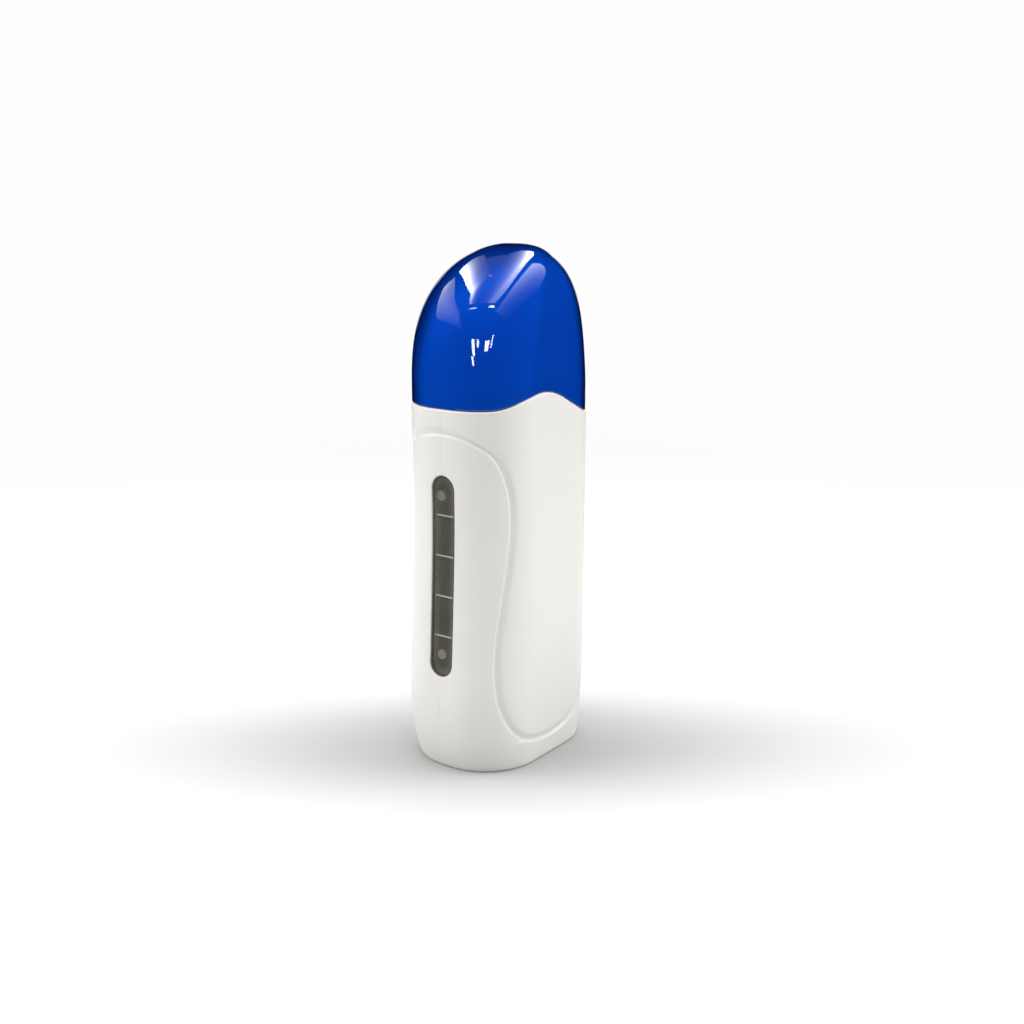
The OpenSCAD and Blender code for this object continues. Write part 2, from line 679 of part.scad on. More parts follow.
module fuse_lead() {
    color("#b23a2e")
    lead([[fuse_x, fuse_y, fuse_low - 3.02], [fuse_x, fuse_y + 0.2, fuse_low - 4.2],
          [-22.7, 5.6, 105.4], [-22.7, 9, 102.6], [-21, tab_out, 100.2], [-19.6, tab_out, 99.8],
          [-18.62, tab_out, 99.8]], 0.7, 14);
}

// Terminals that push onto the inlet's tabs, and the crimp between lead and fuse
module terminals() {
    color("#d8d2c4") {
        for (x = [-1, 1] * pin_x) difference() {
            box_between([x - 2.2, terminal_y, inlet_z - 1.2], [x + 2.2, terminal_y + 5.4, inlet_z + 1.2]);
            box_between([x - 1.65, terminal_y + 0.8, inlet_z - 0.45], [x + 1.65, terminal_y + 6, inlet_z + 0.45]);
        }
        translate([fuse_x, fuse_y, fuse_high + 0.2]) difference() {
            cylinder(r = 1.5, h = 3, $fn = 24);
            translate([0, 0, 1]) cylinder(r = lead_r + 0.15, h = 4, $fn = 24);
            translate([0, 0, -1]) cylinder(r = 0.45, h = 4, $fn = 24);
        }
    }
}

// Clip on the sleeve's side that holds the live lead
module lead_clip() {
    color(white)
    for (z = [60, 90]) translate([-22.2, 15.8, z]) difference() {
        union() {
            cylinder(r = 1.7, h = 5, $fn = 32);
            box_between([0, -1.7, 0], [22.2 - sleeve_x, 1.0, 5]);
        }
        translate([0, 0, -1]) cylinder(r = lead_r + 0.15, h = 7, $fn = 32);
        box_between([-3, -0.5, -1], [0, 0.5, 6]);
    }
}

module shell_screws() {
    color(metal)
    for (p = screw_spots) {
        difference() {
            union() {
                bar_x(screw_r, screw_seat, screw_seat + screw_len, p[0], p[1]);
                bar_x(head_r, screw_seat - head_t, screw_seat, p[0], p[1]);
            }
            for (a = [0, 90]) translate([screw_seat - head_t, p[0], p[1]]) rotate([a, 0, 0])
                box_between([-1, -1.6, -0.3], [1, 1.6, 0.3]);
        }
    }
}

cap();
shell_right();
shell_left();
window_pane();
cartridge_sleeve();
heater_plate();
plate_rivets();
ptc_chips();
electrode_inner();
electrode_outer();
insulation_film();
mica_sheet();
heater_clamp();
clamp_screws();
pressure_spring();
spring_rivets();
thermal_fuse();
fuse_sleeve();
indicator_lamp();
lamp_resistor();
lamp_leads();
inlet_housing();
inlet_pins();
live_lead();
neutral_lead();
fuse_lead();
terminals();
lead_clip();
shell_screws();
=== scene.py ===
# %% [markdown]
# # A heater for a roll-on wax cartridge
# The object is a hand-held heater: a waisted white body of two moulded halves, a dark slot window
# with level bars, a groove that outlines the grip on each large face, and a tall translucent cap.
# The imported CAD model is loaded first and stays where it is. Everything that shows is then built
# round it in metres, in the same frame: +Z is up and the window faces -Y.

# %% Load the frame
import math

import bmesh
import bpy
import numpy as np
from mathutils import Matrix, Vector


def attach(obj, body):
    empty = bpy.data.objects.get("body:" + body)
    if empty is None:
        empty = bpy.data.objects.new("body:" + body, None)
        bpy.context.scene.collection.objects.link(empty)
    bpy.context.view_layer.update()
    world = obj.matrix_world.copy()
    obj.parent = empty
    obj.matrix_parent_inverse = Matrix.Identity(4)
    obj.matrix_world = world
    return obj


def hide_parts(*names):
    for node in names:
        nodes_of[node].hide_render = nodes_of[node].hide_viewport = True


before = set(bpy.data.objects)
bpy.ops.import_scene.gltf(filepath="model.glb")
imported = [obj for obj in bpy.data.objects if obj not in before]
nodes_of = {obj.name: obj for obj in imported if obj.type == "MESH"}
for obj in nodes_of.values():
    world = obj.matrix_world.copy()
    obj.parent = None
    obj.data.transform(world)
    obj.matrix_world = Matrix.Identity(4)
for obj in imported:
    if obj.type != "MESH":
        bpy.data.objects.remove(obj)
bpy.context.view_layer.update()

MM = 0.001

# %% [markdown]
# ## The lines of the body
# A moulded body like this is drawn by a few lines: how far the front, the back and the sides stand
# in from a plain box at each height, and how the mouth waves. The CAD source has the same lines,
# so the fine surfaces made here lie on the CAD solids. Each line is a short list of points with a
# smooth cubic curve through them.

# %% Sizes in millimetres
TOTAL, DEPTH, WIDTH, WALL = 205.0, 76.0, 55.6, 2.2
CORNER_FRONT, CORNER_BACK, BASE_ROUND = 23.8, 20.0, 1.2
MOUTH, CAP_WALL, CAP_GAP, CAP_INSET = 145.4, 1.8, 0.18, 0.3
LIP_DEEP, LIP_THICK, LIP_GAP, APEX = 4.0, 1.2, 0.3, 12.7
WINDOW_W, WINDOW_LOW, WINDOW_HIGH, WINDOW_SPACES = 11.0, 39.3, 119.8, 5
PANE_DEEP, RIM_DEEP, RIM_W = 1.8, 0.4, 0.8
GROOVE_W, GROOVE_DEEP = 3.3, 1.1
BODY_REF, HALF_GIRTH, WAIST, BACK_ARCH = 150.0, 107.0, 100.0, 0.73

front_line = [(0, 3.8), (0.08, 1.2), (0.19, 0), (0.34, 1.5), (0.68, 3.7), (1, 3.0)]
back_line = [(0, 2.8), (0.09, 1.9), (0.34, 1.4), (0.7, 0.1), (0.86, 0), (1, 0.2)]
side_line = [(0, 1.7), (0.1, 0.8), (0.25, 0.1), (0.34, 0), (0.7, 0.9), (1, 0.8)]
mouth_line = [(-39, 0), (-27, 0.3), (-15, 3.8), (-5, 5.1), (4, 3.4), (16, -2.3), (25, -6.1), (39, -7.4)]
groove_line = [(53.5, 9.3), (42, 11), (33, 16), (27, 27), (24.2, 42), (24.5, 58), (27.2, 80),
               (28.9, 100), (27.5, 116), (22.3, 128.0), (13.5, 134.3), (6, 136.3), (0, 136.7)]
DOME_TOP = TOTAL + CAP_INSET


# %% Curves of the form
def along(line, x):
    """Value at x of the smooth curve through (x, value) points, level at its last point."""
    xs, vs = np.array(line, float).T
    slopes = np.empty_like(vs)
    slopes[1:-1] = (vs[2:] - vs[:-2]) / (xs[2:] - xs[:-2])
    slopes[0], slopes[-1] = (vs[1] - vs[0]) / (xs[1] - xs[0]), 0
    x = np.asarray(x, float)
    k = np.clip(np.searchsorted(xs, x, side="right") - 1, 0, len(xs) - 2)
    h = xs[k + 1] - xs[k]
    t = np.clip((x - xs[k]) / h, 0, 1)
    return ((2 * t**3 - 3 * t * t + 1) * vs[k] + (t**3 - 2 * t * t + t) * h * slopes[k]
            + (3 * t * t - 2 * t**3) * vs[k + 1] + (t**3 - t * t) * h * slopes[k + 1])


def bulge(z, start, power, root):
    """How far a curve of the cap still stands out: 1 at its foot, 0 at the apex."""
    rise = np.clip((z - start) / (DOME_TOP - start), 0, 1)
    return (1 - rise**power) ** (1 / root)


def share(z):
    return np.minimum(np.asarray(z, float) / BODY_REF, 1)


def mouth_z(y):
    return MOUTH + along(mouth_line, y)


def section(z, inset=0.0):
    """Half width, front, back and the two corner radii of the outline at height z."""
    z = np.asarray(z, float)
    w = (WIDTH / 2 - along(side_line, share(z))) * bulge(z, 153, 4.4, 2.65)
    f = -(DEPTH / 2 - along(front_line, share(z)))
    f = APEX + (f - APEX) * (0.56 * bulge(z, 150, 2.85, 1) + 0.44 * bulge(z, 150, 2.65, 2))
    b = APEX + (DEPTH / 2 - along(back_line, share(z)) - APEX) * bulge(z, 149, 1.7, 1.83)
    rise = np.clip((z - BODY_REF) / (DOME_TOP - BODY_REF), 0, 1)
    rf = CORNER_FRONT + (6.5 - CORNER_FRONT) * rise**3.6
    rb = CORNER_BACK + (10 - CORNER_BACK) * rise**2.5
    w = np.maximum(w - inset, 0.02)
    f, b = np.minimum(f + inset, APEX - 0.02), np.maximum(b - inset, APEX + 0.02)
    limit = np.minimum(w - 0.01, (b - f) / 2 - 0.005)
    rf = np.maximum(np.minimum(rf - inset, limit), 0.005)
    rb = np.maximum(np.minimum(rb - inset, limit), 0.005)
    return w, f, b, rf, rb


def half_length(z, inset=0.0):
    """Way round half the outline, from the front centre line to the back one."""
    w, f, b, rf, rb = section(z, inset)
    return (w - rf) + rf * math.pi / 2 + (b - rb - f - rf) + rb * math.pi / 2 + (w - rb)


def on_outline(s, z, inset=0.0):
    """Point x, y and outward direction at a way s round the right half of the outline."""
    w, f, b, rf, rb = section(z, inset)
    s1 = w - rf
    s2 = s1 + rf * math.pi / 2
    s3 = s2 + b - rb - f - rf
    s4 = s3 + rb * math.pi / 2
    a, c = np.clip((s - s1) / rf, 0, math.pi / 2), np.clip((s - s3) / rb, 0, math.pi / 2)
    pick = [s < s1, s < s2, s < s3, s < s4]
    x = np.select(pick, [s, s1 + rf * np.sin(a), w + 0 * s, w - rb + rb * np.cos(c)], w - rb - (s - s4))
    y = np.select(pick, [f + 0 * s, f + rf - rf * np.cos(a), f + rf + s - s2, b - rb + rb * np.sin(c)],
                  b + 0 * s)
    nx = np.select(pick, [0 * s, np.sin(a), 1 + 0 * s, np.cos(c)], 0 * s)
    ny = np.select(pick, [-1 + 0 * s, -np.cos(a), 0 * s, np.sin(c)], 1 + 0 * s)
    return x, y, nx, ny


print("way round half the waist, mm:", round(float(half_length(100.0)), 1))

# %% [markdown]
# ## The camera
# The photograph looks down a little from the front right. The angles, the distance and the focal
# length, which is in pixels of the square picture, were fitted once to the object's outline.

# %% Camera
azimuth, elevation, distance = math.radians(36.157), math.radians(14.143), 526.81 * MM
aside = Vector((math.cos(azimuth), math.sin(azimuth), 0))
toward = Vector((math.sin(azimuth), -math.cos(azimuth), 0))
back = toward * math.cos(elevation) + Vector((0, 0, math.sin(elevation)))
FOCAL, PICTURE, SENSOR = 1300, 1024, 36
target = Vector((0, 0.7, 98.5)) * MM + aside * 5.888 * MM
camera = bpy.data.objects.new("camera", bpy.data.cameras.new("camera"))
bpy.context.scene.collection.objects.link(camera)
camera.data.lens, camera.data.sensor_width = SENSOR * FOCAL / PICTURE, SENSOR
camera.data.clip_start, camera.data.clip_end = 0.01, 30
camera.location = target + back * distance
camera.rotation_mode = "QUATERNION"
camera.rotation_quaternion = (-back).to_track_quat("-Z", "Y")
bpy.context.scene.camera = camera
print("camera at", [round(c, 4) for c in camera.location])

# %% [markdown]
# ## Mesh helpers
# Most surfaces here are grids of points. A closed wall is made from an outer grid and an inner
# one, joined round their edges, so it has no open edge and no loose face. Booleans cut the holes.


# %% Grids to meshes
def object_from(name, points, faces, smooth=True):
    """A mesh object from points in millimetres, with its faces turned outwards."""
    mesh = bpy.data.meshes.new(name)
    points = np.asarray(points, float) * MM
    mesh.from_pydata(points.tolist(), [], [tuple(int(i) for i in f) for f in faces])
    made = bmesh.new()
    made.from_mesh(mesh)
    bmesh.ops.remove_doubles(made, verts=made.verts, dist=1e-7)
    bmesh.ops.dissolve_degenerate(made, edges=made.edges, dist=1e-7)
    if made.calc_volume(signed=True) < 0:
        bmesh.ops.reverse_faces(made, faces=made.faces)
    made.to_mesh(mesh)
    made.free()
    for polygon in mesh.polygons:
        polygon.use_smooth = smooth
    thing = bpy.data.objects.new(name, mesh)
    bpy.context.scene.collection.objects.link(thing)
    return thing


def grid_faces(rows, columns, start=0, closed=False, flip=False):
    """Four-sided faces of a grid whose points are counted row by row."""
    out = []
    for i in range(rows - 1):
        for j in range(columns if closed else columns - 1):
            k = (j + 1) % columns
            a, b = start + i * columns + j, start + i * columns + k
            quad = (a, b, b + columns, a + columns)
            out.append(quad[::-1] if flip else quad)
    return out


def wall_between(name, outer, inner):
    """Closed wall between two grids of one size: their faces and the four edges between."""
    rows, columns = outer.shape[:2]
    n = rows * columns
    faces = grid_faces(rows, columns) + grid_faces(rows, columns, n, flip=True)
    rim = ([(0, j) for j in range(columns)] + [(i, columns - 1) for i in range(1, rows)]
           + [(rows - 1, j) for j in range(columns - 2, -1, -1)] + [(i, 0) for i in range(rows - 2, 0, -1)])
    ids = [i * columns + j for i, j in rim]
    for a, b in zip(ids, ids[1:] + ids[:1]):
        faces.append((b, a, a + n, b + n))
    return object_from(name, np.concatenate([outer.reshape(-1, 3), inner.reshape(-1, 3)]), faces)


def rings_to_solid(name, rings, smooth=True):
    """Solid through closed rings of points, with a fan of faces at each end."""
    rings = np.asarray(rings, float)
    m, n = rings.shape[:2]
    points = np.concatenate([rings.reshape(-1, 3), rings[:1].mean(1), rings[-1:].mean(1)])
    faces = grid_faces(m, n, closed=True)
    faces += [(m * n, (j + 1) % n, j) for j in range(n)]
    faces += [(m * n + 1, (m - 1) * n + j, (m - 1) * n + (j + 1) % n) for j in range(n)]
    return object_from(name, points, faces, smooth)


def apply_all(thing):
    """Turns the object with its modifiers into a plain mesh."""
    graph = bpy.context.evaluated_depsgraph_get()
    mesh = bpy.data.meshes.new_from_object(thing.evaluated_get(graph))
    old = thing.data
    thing.modifiers.clear()
    thing.data = mesh
    bpy.data.meshes.remove(old)
    return thing


def combine(thing, others, how):
    """Joins the others to the thing (UNION) or cuts them from it (DIFFERENCE)."""
    for other in others:
        step = thing.modifiers.new(how, "BOOLEAN")
        step.operation, step.object, step.solver = how, other, "MANIFOLD"
    apply_all(thing)
    for other in others:
        bpy.data.objects.remove(other)
    return thing


def report(thing):
    """Prints the piece's size, and any open edge."""
    made = bmesh.new()
    made.from_mesh(thing.data)
    open_edges = sum(not e.is_manifold for e in made.edges)
    triangles = sum(len(f.verts) - 2 for f in made.faces)
    volume = made.calc_volume(signed=True) / MM**3
    print(f"{thing.name}: {triangles} triangles, {open_edges} open edges, {volume:.0f} mm3")
    made.free()
    return thing


# %% [markdown]
# ## Finishes
# Each material is a Principled shader whose grain comes from noise on Object coordinates, in
# metres, so the grain keeps its real size. Moulded plastic has a fine spark-eroded grain in its
# gloss and its surface; sheet metal has drawn lines along one axis.


# %% Material helpers
def shader(name, colour, roughness=0.5, metallic=0.0):
    """A new material, with its node tree and its Principled shader."""
    material = bpy.data.materials.new(name)
    material.use_nodes = True
    tree = material.node_tree
    surface = tree.nodes["Principled BSDF"]
    surface.inputs["Base Color"].default_value = (*colour, 1)
    surface.inputs["Roughness"].default_value = roughness
    surface.inputs["Metallic"].default_value = metallic
    return material, tree, surface


def noise(tree, scale, detail=2.0, stretch=(1, 1, 1)):
    """Noise of a given number of spots per metre on the piece's own place."""
    place = tree.nodes.new("ShaderNodeTexCoord")
    fit = tree.nodes.new("ShaderNodeMapping")
    fit.inputs["Scale"].default_value = stretch
    spots = tree.nodes.new("ShaderNodeTexNoise")
    spots.inputs["Scale"].default_value = scale
    spots.inputs["Detail"].default_value = detail
    tree.links.new(place.outputs["Object"], fit.inputs["Vector"])
    tree.links.new(fit.outputs["Vector"], spots.inputs["Vector"])
    return spots.outputs["Fac"]


def spread(tree, value, low, high):
    """Noise value spread between two numbers."""
    ranged = tree.nodes.new("ShaderNodeMapRange")
    ranged.inputs["From Min"].default_value, ranged.inputs["From Max"].default_value = 0.3, 0.7
    ranged.inputs["To Min"].default_value, ranged.inputs["To Max"].default_value = low, high
    tree.links.new(value, ranged.inputs["Value"])
    return ranged.outputs["Result"]


def tint(tree, value, dark, light):
    """Colour between two, by a value."""
    mixed = tree.nodes.new("ShaderNodeMix")
    mixed.data_type = "RGBA"
    mixed.inputs["A"].default_value, mixed.inputs["B"].default_value = (*dark, 1), (*light, 1)
    tree.links.new(value, mixed.inputs["Factor"])
    return mixed.outputs["Result"]


def math_of(tree, kind, one, other):
    """Math node on two values, each an output or a number."""
    node = tree.nodes.new("ShaderNodeMath")
    node.operation = kind
    for socket, value in zip(node.inputs, (one, other)):
        if isinstance(value, (int, float)):
            socket.default_value = value
        else:
            tree.links.new(value, socket)
    return node.outputs[0]


def ramp(tree, value, start, end, low=0.0, high=1.0):
    """Smooth step of a value, from low at start to high at end."""
    step = tree.nodes.new("ShaderNodeMapRange")
    step.interpolation_type = "SMOOTHSTEP"
    for name, number in (("From Min", start), ("From Max", end), ("To Min", low), ("To Max", high)):
        step.inputs[name].default_value = number
    tree.links.new(value, step.inputs["Value"])
    return step.outputs["Result"]


def vector_of(tree, kind, vector, other=(0, 0, 0)):
    """Vector math node on a vector output and fixed numbers."""
    node = tree.nodes.new("ShaderNodeVectorMath")
    node.operation = kind
    tree.links.new(vector, node.inputs[0])
    node.inputs[1].default_value = other
    return node.outputs


def inside(tree, centre, radius, axes=(1, 1, 1)):
    """1 within a radius of a centre, both in mm and measured on the axes given, and 0 beyond it."""
    place = tree.nodes.new("ShaderNodeTexCoord").outputs["Object"]
    scaled = vector_of(tree, "MULTIPLY", place, [a / radius / MM for a in axes])["Vector"]
    gap = vector_of(tree, "DISTANCE", scaled, [a * c / radius for a, c in zip(axes, centre)])["Value"]
    return ramp(tree, gap, 0.85, 1.05, 1.0, 0.0)


def grain(tree, surface, value, depth, strength=1.0):
    """Fine relief of a depth in metres."""
    relief = tree.nodes.new("ShaderNodeBump")
    relief.inputs["Distance"].default_value = depth
    relief.inputs["Strength"].default_value = strength
    tree.links.new(value, relief.inputs["Height"])
    tree.links.new(relief.outputs["Normal"], surface.inputs["Normal"])


def moulded(name, colour, roughness, depth=6e-6, per_metre=2600, shade=0.03):
    """Moulded plastic: slight clouding of its colour, and a fine grain."""
    material, tree, surface = shader(name, colour, roughness)
    dark = tuple(c * (1 - shade) for c in colour)
    cloud = spread(tree, noise(tree, 45, 3), 0, 1)
    tree.links.new(tint(tree, cloud, dark, colour), surface.inputs["Base Color"])
    fine = noise(tree, per_metre, 2)
    tree.links.new(spread(tree, fine, roughness - 0.04, roughness + 0.05), surface.inputs["Roughness"])
    grain(tree, surface, fine, depth)
    return material


def sheet_metal(name, colour, roughness, along_axis=2, per_metre=900, depth=4e-6):
    """Rolled or drawn metal: lines along one axis in its gloss and relief."""
    material, tree, surface = shader(name, colour, roughness, 1.0)
    stretch = [1.0, 1.0, 1.0]
    stretch[along_axis] = 0.04
    lines = noise(tree, per_metre, 4, tuple(stretch))
    dark = tuple(c * 0.88 for c in colour)
    tree.links.new(tint(tree, spread(tree, lines, 0, 1), dark, colour), surface.inputs["Base Color"])
    tree.links.new(spread(tree, lines, roughness - 0.07, roughness + 0.1), surface.inputs["Roughness"])
    grain(tree, surface, lines, depth)
    return material


def dress(node, material):
    """Gives a carried-over CAD node its material."""
    thing = nodes_of[node]
    thing.data.materials.clear()
    thing.data.materials.append(material)


# %% [markdown]
# ## White satin plastic of the two halves
# The body is warm white ABS with a satin face. A photograph of it shows soft, broad reflections
# and no visible pattern, so the grain is very fine and the colour nearly even.

# %% Body plastic
body_white = moulded("body_white", (0.83, 0.815, 0.775), 0.36, depth=5e-6, per_metre=2200, shade=0.012)
satin = body_white.node_tree.nodes["Principled BSDF"].inputs
satin["Specular IOR Level"].default_value = 0.45
satin["Sheen Weight"].default_value, satin["Sheen Roughness"].default_value = 0.16, 0.35

# %% [markdown]
# ## The two body halves
# Each half is one wall between an outer and an inner grid. The rows climb from the middle of the
# underside, round the bottom edge and up to the wavy mouth; the columns run from the front parting
# line to the back one. Where the window is, the first column follows the slot's edge instead of
# the parting line, so the slot is part of the grid and needs no cutting. The groove, the rounded
# edges and the hairline at the parting are depths taken from the outer grid.

# %% The groove's line, drawn fine
def smooth_path(points, steps):
    """Catmull-Rom curve through evenly counted points."""
    p = np.array(points, float)
    u = np.linspace(0, len(p) - 1, steps + 1)
    k = np.minimum(u.astype(int), len(p) - 2)
    f = (u - k)[:, None]
    a, b, c, d = p[np.maximum(k - 1, 0)], p[k], p[k + 1], p[np.minimum(k + 2, len(p) - 1)]
    return 0.5 * (2 * b + (c - a) * f + (2 * a - 5 * b + 4 * c - d) * f**2 + (3 * b - a - 3 * c + d) * f**3)


front_groove = smooth_path(groove_line, 330)
back_groove = front_groove.copy()
back_groove[:, 0] = HALF_GIRTH - front_groove[:, 0]
back_groove[:, 1] = np.minimum(front_groove[:, 1], WAIST + BACK_ARCH * (front_groove[:, 1] - WAIST))


def signed_distance(s, z, path):
    """Distance to a path in the unrolled surface, above nought on its tongue side."""
    p = np.stack([s.ravel(), z.ravel()], -1)
    best, sign = np.full(len(p), 1e9), np.ones(len(p))
    for a, b in zip(path[:-1], path[1:]):
        d = b - a
        t = np.clip(((p - a) @ d) / (d @ d + 1e-12), 0, 1)
        away = p - (a + t[:, None] * d)
        gap = np.hypot(away[:, 0], away[:, 1])
        near = gap < best
        best[near] = gap[near]
        sign[near] = np.sign(d[1] * away[near, 0] - d[0] * away[near, 1])
    return (best * sign).reshape(s.shape)


STEEP = 1.15


def groove_depth(away):
    """Depth of the groove across its width: crisp on the front side, soft on the tongue's."""
    u = away + GROOVE_W / 2
    fall = (1 - np.cos(np.clip(u / STEEP, 0, 1) * math.pi)) / 2
    gentle = np.clip((u - STEEP) / (GROOVE_W + 0.5 - STEEP), 0, 1)
    return GROOVE_DEEP * fall * (1 - gentle * gentle * (3 - 2 * gentle))


def rounded(away, radius):
    """Depth of a rounded edge at a distance from it."""
    left = np.clip(radius - away, 0, radius)
    return radius - np.sqrt(radius**2 - left**2)


# %% Rows and columns of a half
BLEND_Z, CALM_Z = 129.5, 100.0
SLOT_R = WINDOW_W / 2
SLOT_LOW, SLOT_HIGH = WINDOW_LOW + SLOT_R, WINDOW_HIGH - SLOT_R


def steps_between(*stretches):
    """Evenly cut stretches, each given as (from, to, step), without their last point."""
    out = []
    for a, b, step in stretches:
        out += list(np.linspace(a, b, max(int(round((b - a) / step)), 1) + 1)[:-1])
    return out


quarter = np.linspace(0, math.pi / 2, 19)
edge_steps = np.array([0, 0.04, 0.1, 0.18, 0.3, 0.45])
level_rows = np.array(
    [BASE_ROUND * (1 - math.cos(a)) for a in np.linspace(0, math.pi / 2, 7)[:-1]]
    + steps_between((BASE_ROUND, 6.6, 0.9), (6.6, 28, 0.3), (28, 38.6, 1.0))
    + list(WINDOW_LOW - edge_steps[:0:-1]) + list(SLOT_LOW - SLOT_R * np.cos(quarter[:-1]))
    + steps_between((SLOT_LOW, CALM_Z, 1.25), (CALM_Z, SLOT_HIGH, 0.45))
    + list(SLOT_HIGH + SLOT_R * np.sin(quarter)) + list(WINDOW_HIGH + edge_steps[1:])
    + steps_between((WINDOW_HIGH + 0.75, BLEND_Z, 0.3)))
rim_steps = np.array([0.9, 0.62, 0.45, 0.3, 0.2, 0.12, 0.05, 0.0])
groove_steps = np.array([-2.2, -1.8, -1.55, -1.42, -1.32, -1.2, -1.05, -0.9, -0.75, -0.6, -0.3,
                         0.05, 0.4, 0.8, 1.2, 1.6, 2.1])


def slot_edge(z):
    """Half width of the window slot at a height."""
    return math.sqrt(max(SLOT_R**2 - (z - min(max(z, SLOT_LOW), SLOT_HIGH)) ** 2, 0))


def band_at(path, z, low, high, lean):
    """Way round at which the fine columns follow the groove, with a slant under its low end."""
    order = np.argsort(path[:, 1])
    s = np.interp(min(max(z, low), high), path[order, 1], path[order, 0])
    return float(s) + lean * max(low - z, 0)


def columns_at(z):
    """Ways round at which the points of a row lie."""
    s0, s_end = slot_edge(z), float(half_length(z))
    a = band_at(front_groove, z, 12, 133.6, 0.55)
    b = band_at(back_groove, z, 12, 125.5, -0.55)
    spread_edge = np.append(edge_steps, [0.7, 1.1, 1.6])
    return np.concatenate([
        s0 + spread_edge, np.linspace(s0 + 1.6, a - 2.2, 14)[1:-1], a + groove_steps,
        np.linspace(a + 2.1, b - 2.1, 28)[1:-1], b - groove_steps[::-1],
        np.linspace(b + 2.2, s_end - 1.6, 12)[1:-1], s_end - spread_edge[::-1]])


def outer_grid():
    """Ways round and heights of all points of a half's side, row by row."""
    ways = [columns_at(z) for z in level_rows]
    heights = [np.full(len(ways[0]), z) for z in level_rows]
    full = float(half_length(BLEND_Z))
    for f in np.append(np.linspace(0, 1, 52)[:-1], np.full(len(rim_steps), 1.0)):
        row = columns_at(BLEND_Z + (MOUTH - BLEND_Z) * f)
        row = row * (1 + (float(half_length(MOUTH)) / full - 1) * f) * full / row[-1]
        rim = mouth_z(on_outline(row, np.full(len(row), MOUTH))[1])
        drop = rim_steps[len(ways) - len(level_rows) - 51] if f == 1 else rim_steps[0]
        ways.append(row)
        heights.append(BLEND_Z + (rim - drop - BLEND_Z) * f)
    return np.array(ways), np.array(heights)


ways, heights = outer_grid()
print("grid of a half:", ways.shape)

# %% Outer and inner grid of a half
def shell_points(depth, lift, bottom):
    """Points of the half wall at a depth under its face, from the middle of the underside up."""
    z_in = heights + lift * np.clip(1 - heights / 20, 0, 1)
    x, y, nx, ny = on_outline(ways, heights)
    side = np.stack([np.maximum(x - nx * depth, 0.01), y - ny * depth, z_in], -1)
    foot = side[0]
    middle = np.array([0.01, 0.0, bottom])
    shares = np.array([0, 0.3, 0.55, 0.75, 0.9])[:, None, None]
    under = middle + (foot - middle) * shares
    under[:, :, 2] = bottom
    return np.concatenate([under, side])


SEAM_W, SEAM_DEEP, SLOT_ROUND, MOUTH_ROUND = 0.2, 0.09, 0.45, 0.7


def face_depth():
    """How deep each point of the outer face lies under the plain form."""
    above_foot = BASE_ROUND - np.minimum(heights, BASE_ROUND)
    tuck = np.where(heights < BASE_ROUND, BASE_ROUND - np.sqrt(BASE_ROUND**2 - above_foot**2), 0)
    cut = np.maximum(groove_depth(signed_distance(ways, heights, front_groove)),
                     groove_depth(-signed_distance(ways, heights, back_groove)))
    end = half_length(heights)
    to_slot = np.hypot(ways, heights - np.clip(heights, SLOT_LOW, SLOT_HIGH)) - SLOT_R
    at_front, at_back = np.clip(1 - ways / SEAM_W, 0, 1), np.clip(1 - (end - ways) / SEAM_W, 0, 1)
    seam = SEAM_DEEP * (at_front * (to_slot > SLOT_ROUND) + at_back)
    top = mouth_z(on_outline(ways, heights)[1]) - heights
    return tuck + cut + seam + rounded(to_slot, SLOT_ROUND) + rounded(top, MOUTH_ROUND)


depth_of = face_depth()
print("deepest point of the outer face, mm:", round(float(depth_of.max()), 2))


# %% Posts, bosses and holes of a half
def pill(length, tall, y1, y2, z):
    """Cutter with round ends, lying along X, through y1 to y2."""
    r = tall / 2
    turn = np.linspace(-math.pi / 2, math.pi / 2, 25)
    right = np.stack([length / 2 - r + r * np.cos(turn), 0 * turn, z + r * np.sin(turn)], -1)
    left = right[::-1] * [-1, 1, 1]
    ring = np.concatenate([right, left])
    return rings_to_solid("pill", [ring + [0, y, 0] for y in (y1, y2)], False)


def bar(radius, x1, x2, y, z):
    """Round bar along X."""
    turn = np.linspace(0, 2 * math.pi, 49)[:-1]
    ring = np.stack([0 * turn, y + radius * np.cos(turn), z + radius * np.sin(turn)], -1)
    return rings_to_solid("bar", [ring + [x, 0, 0] for x in (x1, x2)])


def block(low, high):
    """Box between two corners."""
    (x1, y1, z1), (x2, y2, z2) = low, high
    ring = [(x1, y1), (x2, y1), (x2, y2), (x1, y2)]
    return rings_to_solid("block", [[(*p, z) for p in ring] for z in (z1, z2)], False)


def outline_ring(z, inset, side, count=90):
    """Half outline at one height, closed along the parting plane."""
    s = np.linspace(0, float(half_length(z)), count)
    x, y, nx, ny = on_outline(s, np.full(count, z))
    return np.stack([side * np.maximum(x - nx * inset, 0.01), y - ny * inset, np.full(count, z)], -1)


SCREWS, SCREW_R, BOSS_R, HEAD_R, SCREW_SEAT = [(-22, 11), (2, 11)], 1.4, 4.2, 2.6, -6.0
TONGUES = [(1, 60), (1, 98), (1, 125), (-1, 125.5)]
WELL_FLOOR, SLEEVE_WALL, FLANGE = 24.0, 1.5, 133.0
INLET_FACE, INLET_Z = 35.9, 12.0


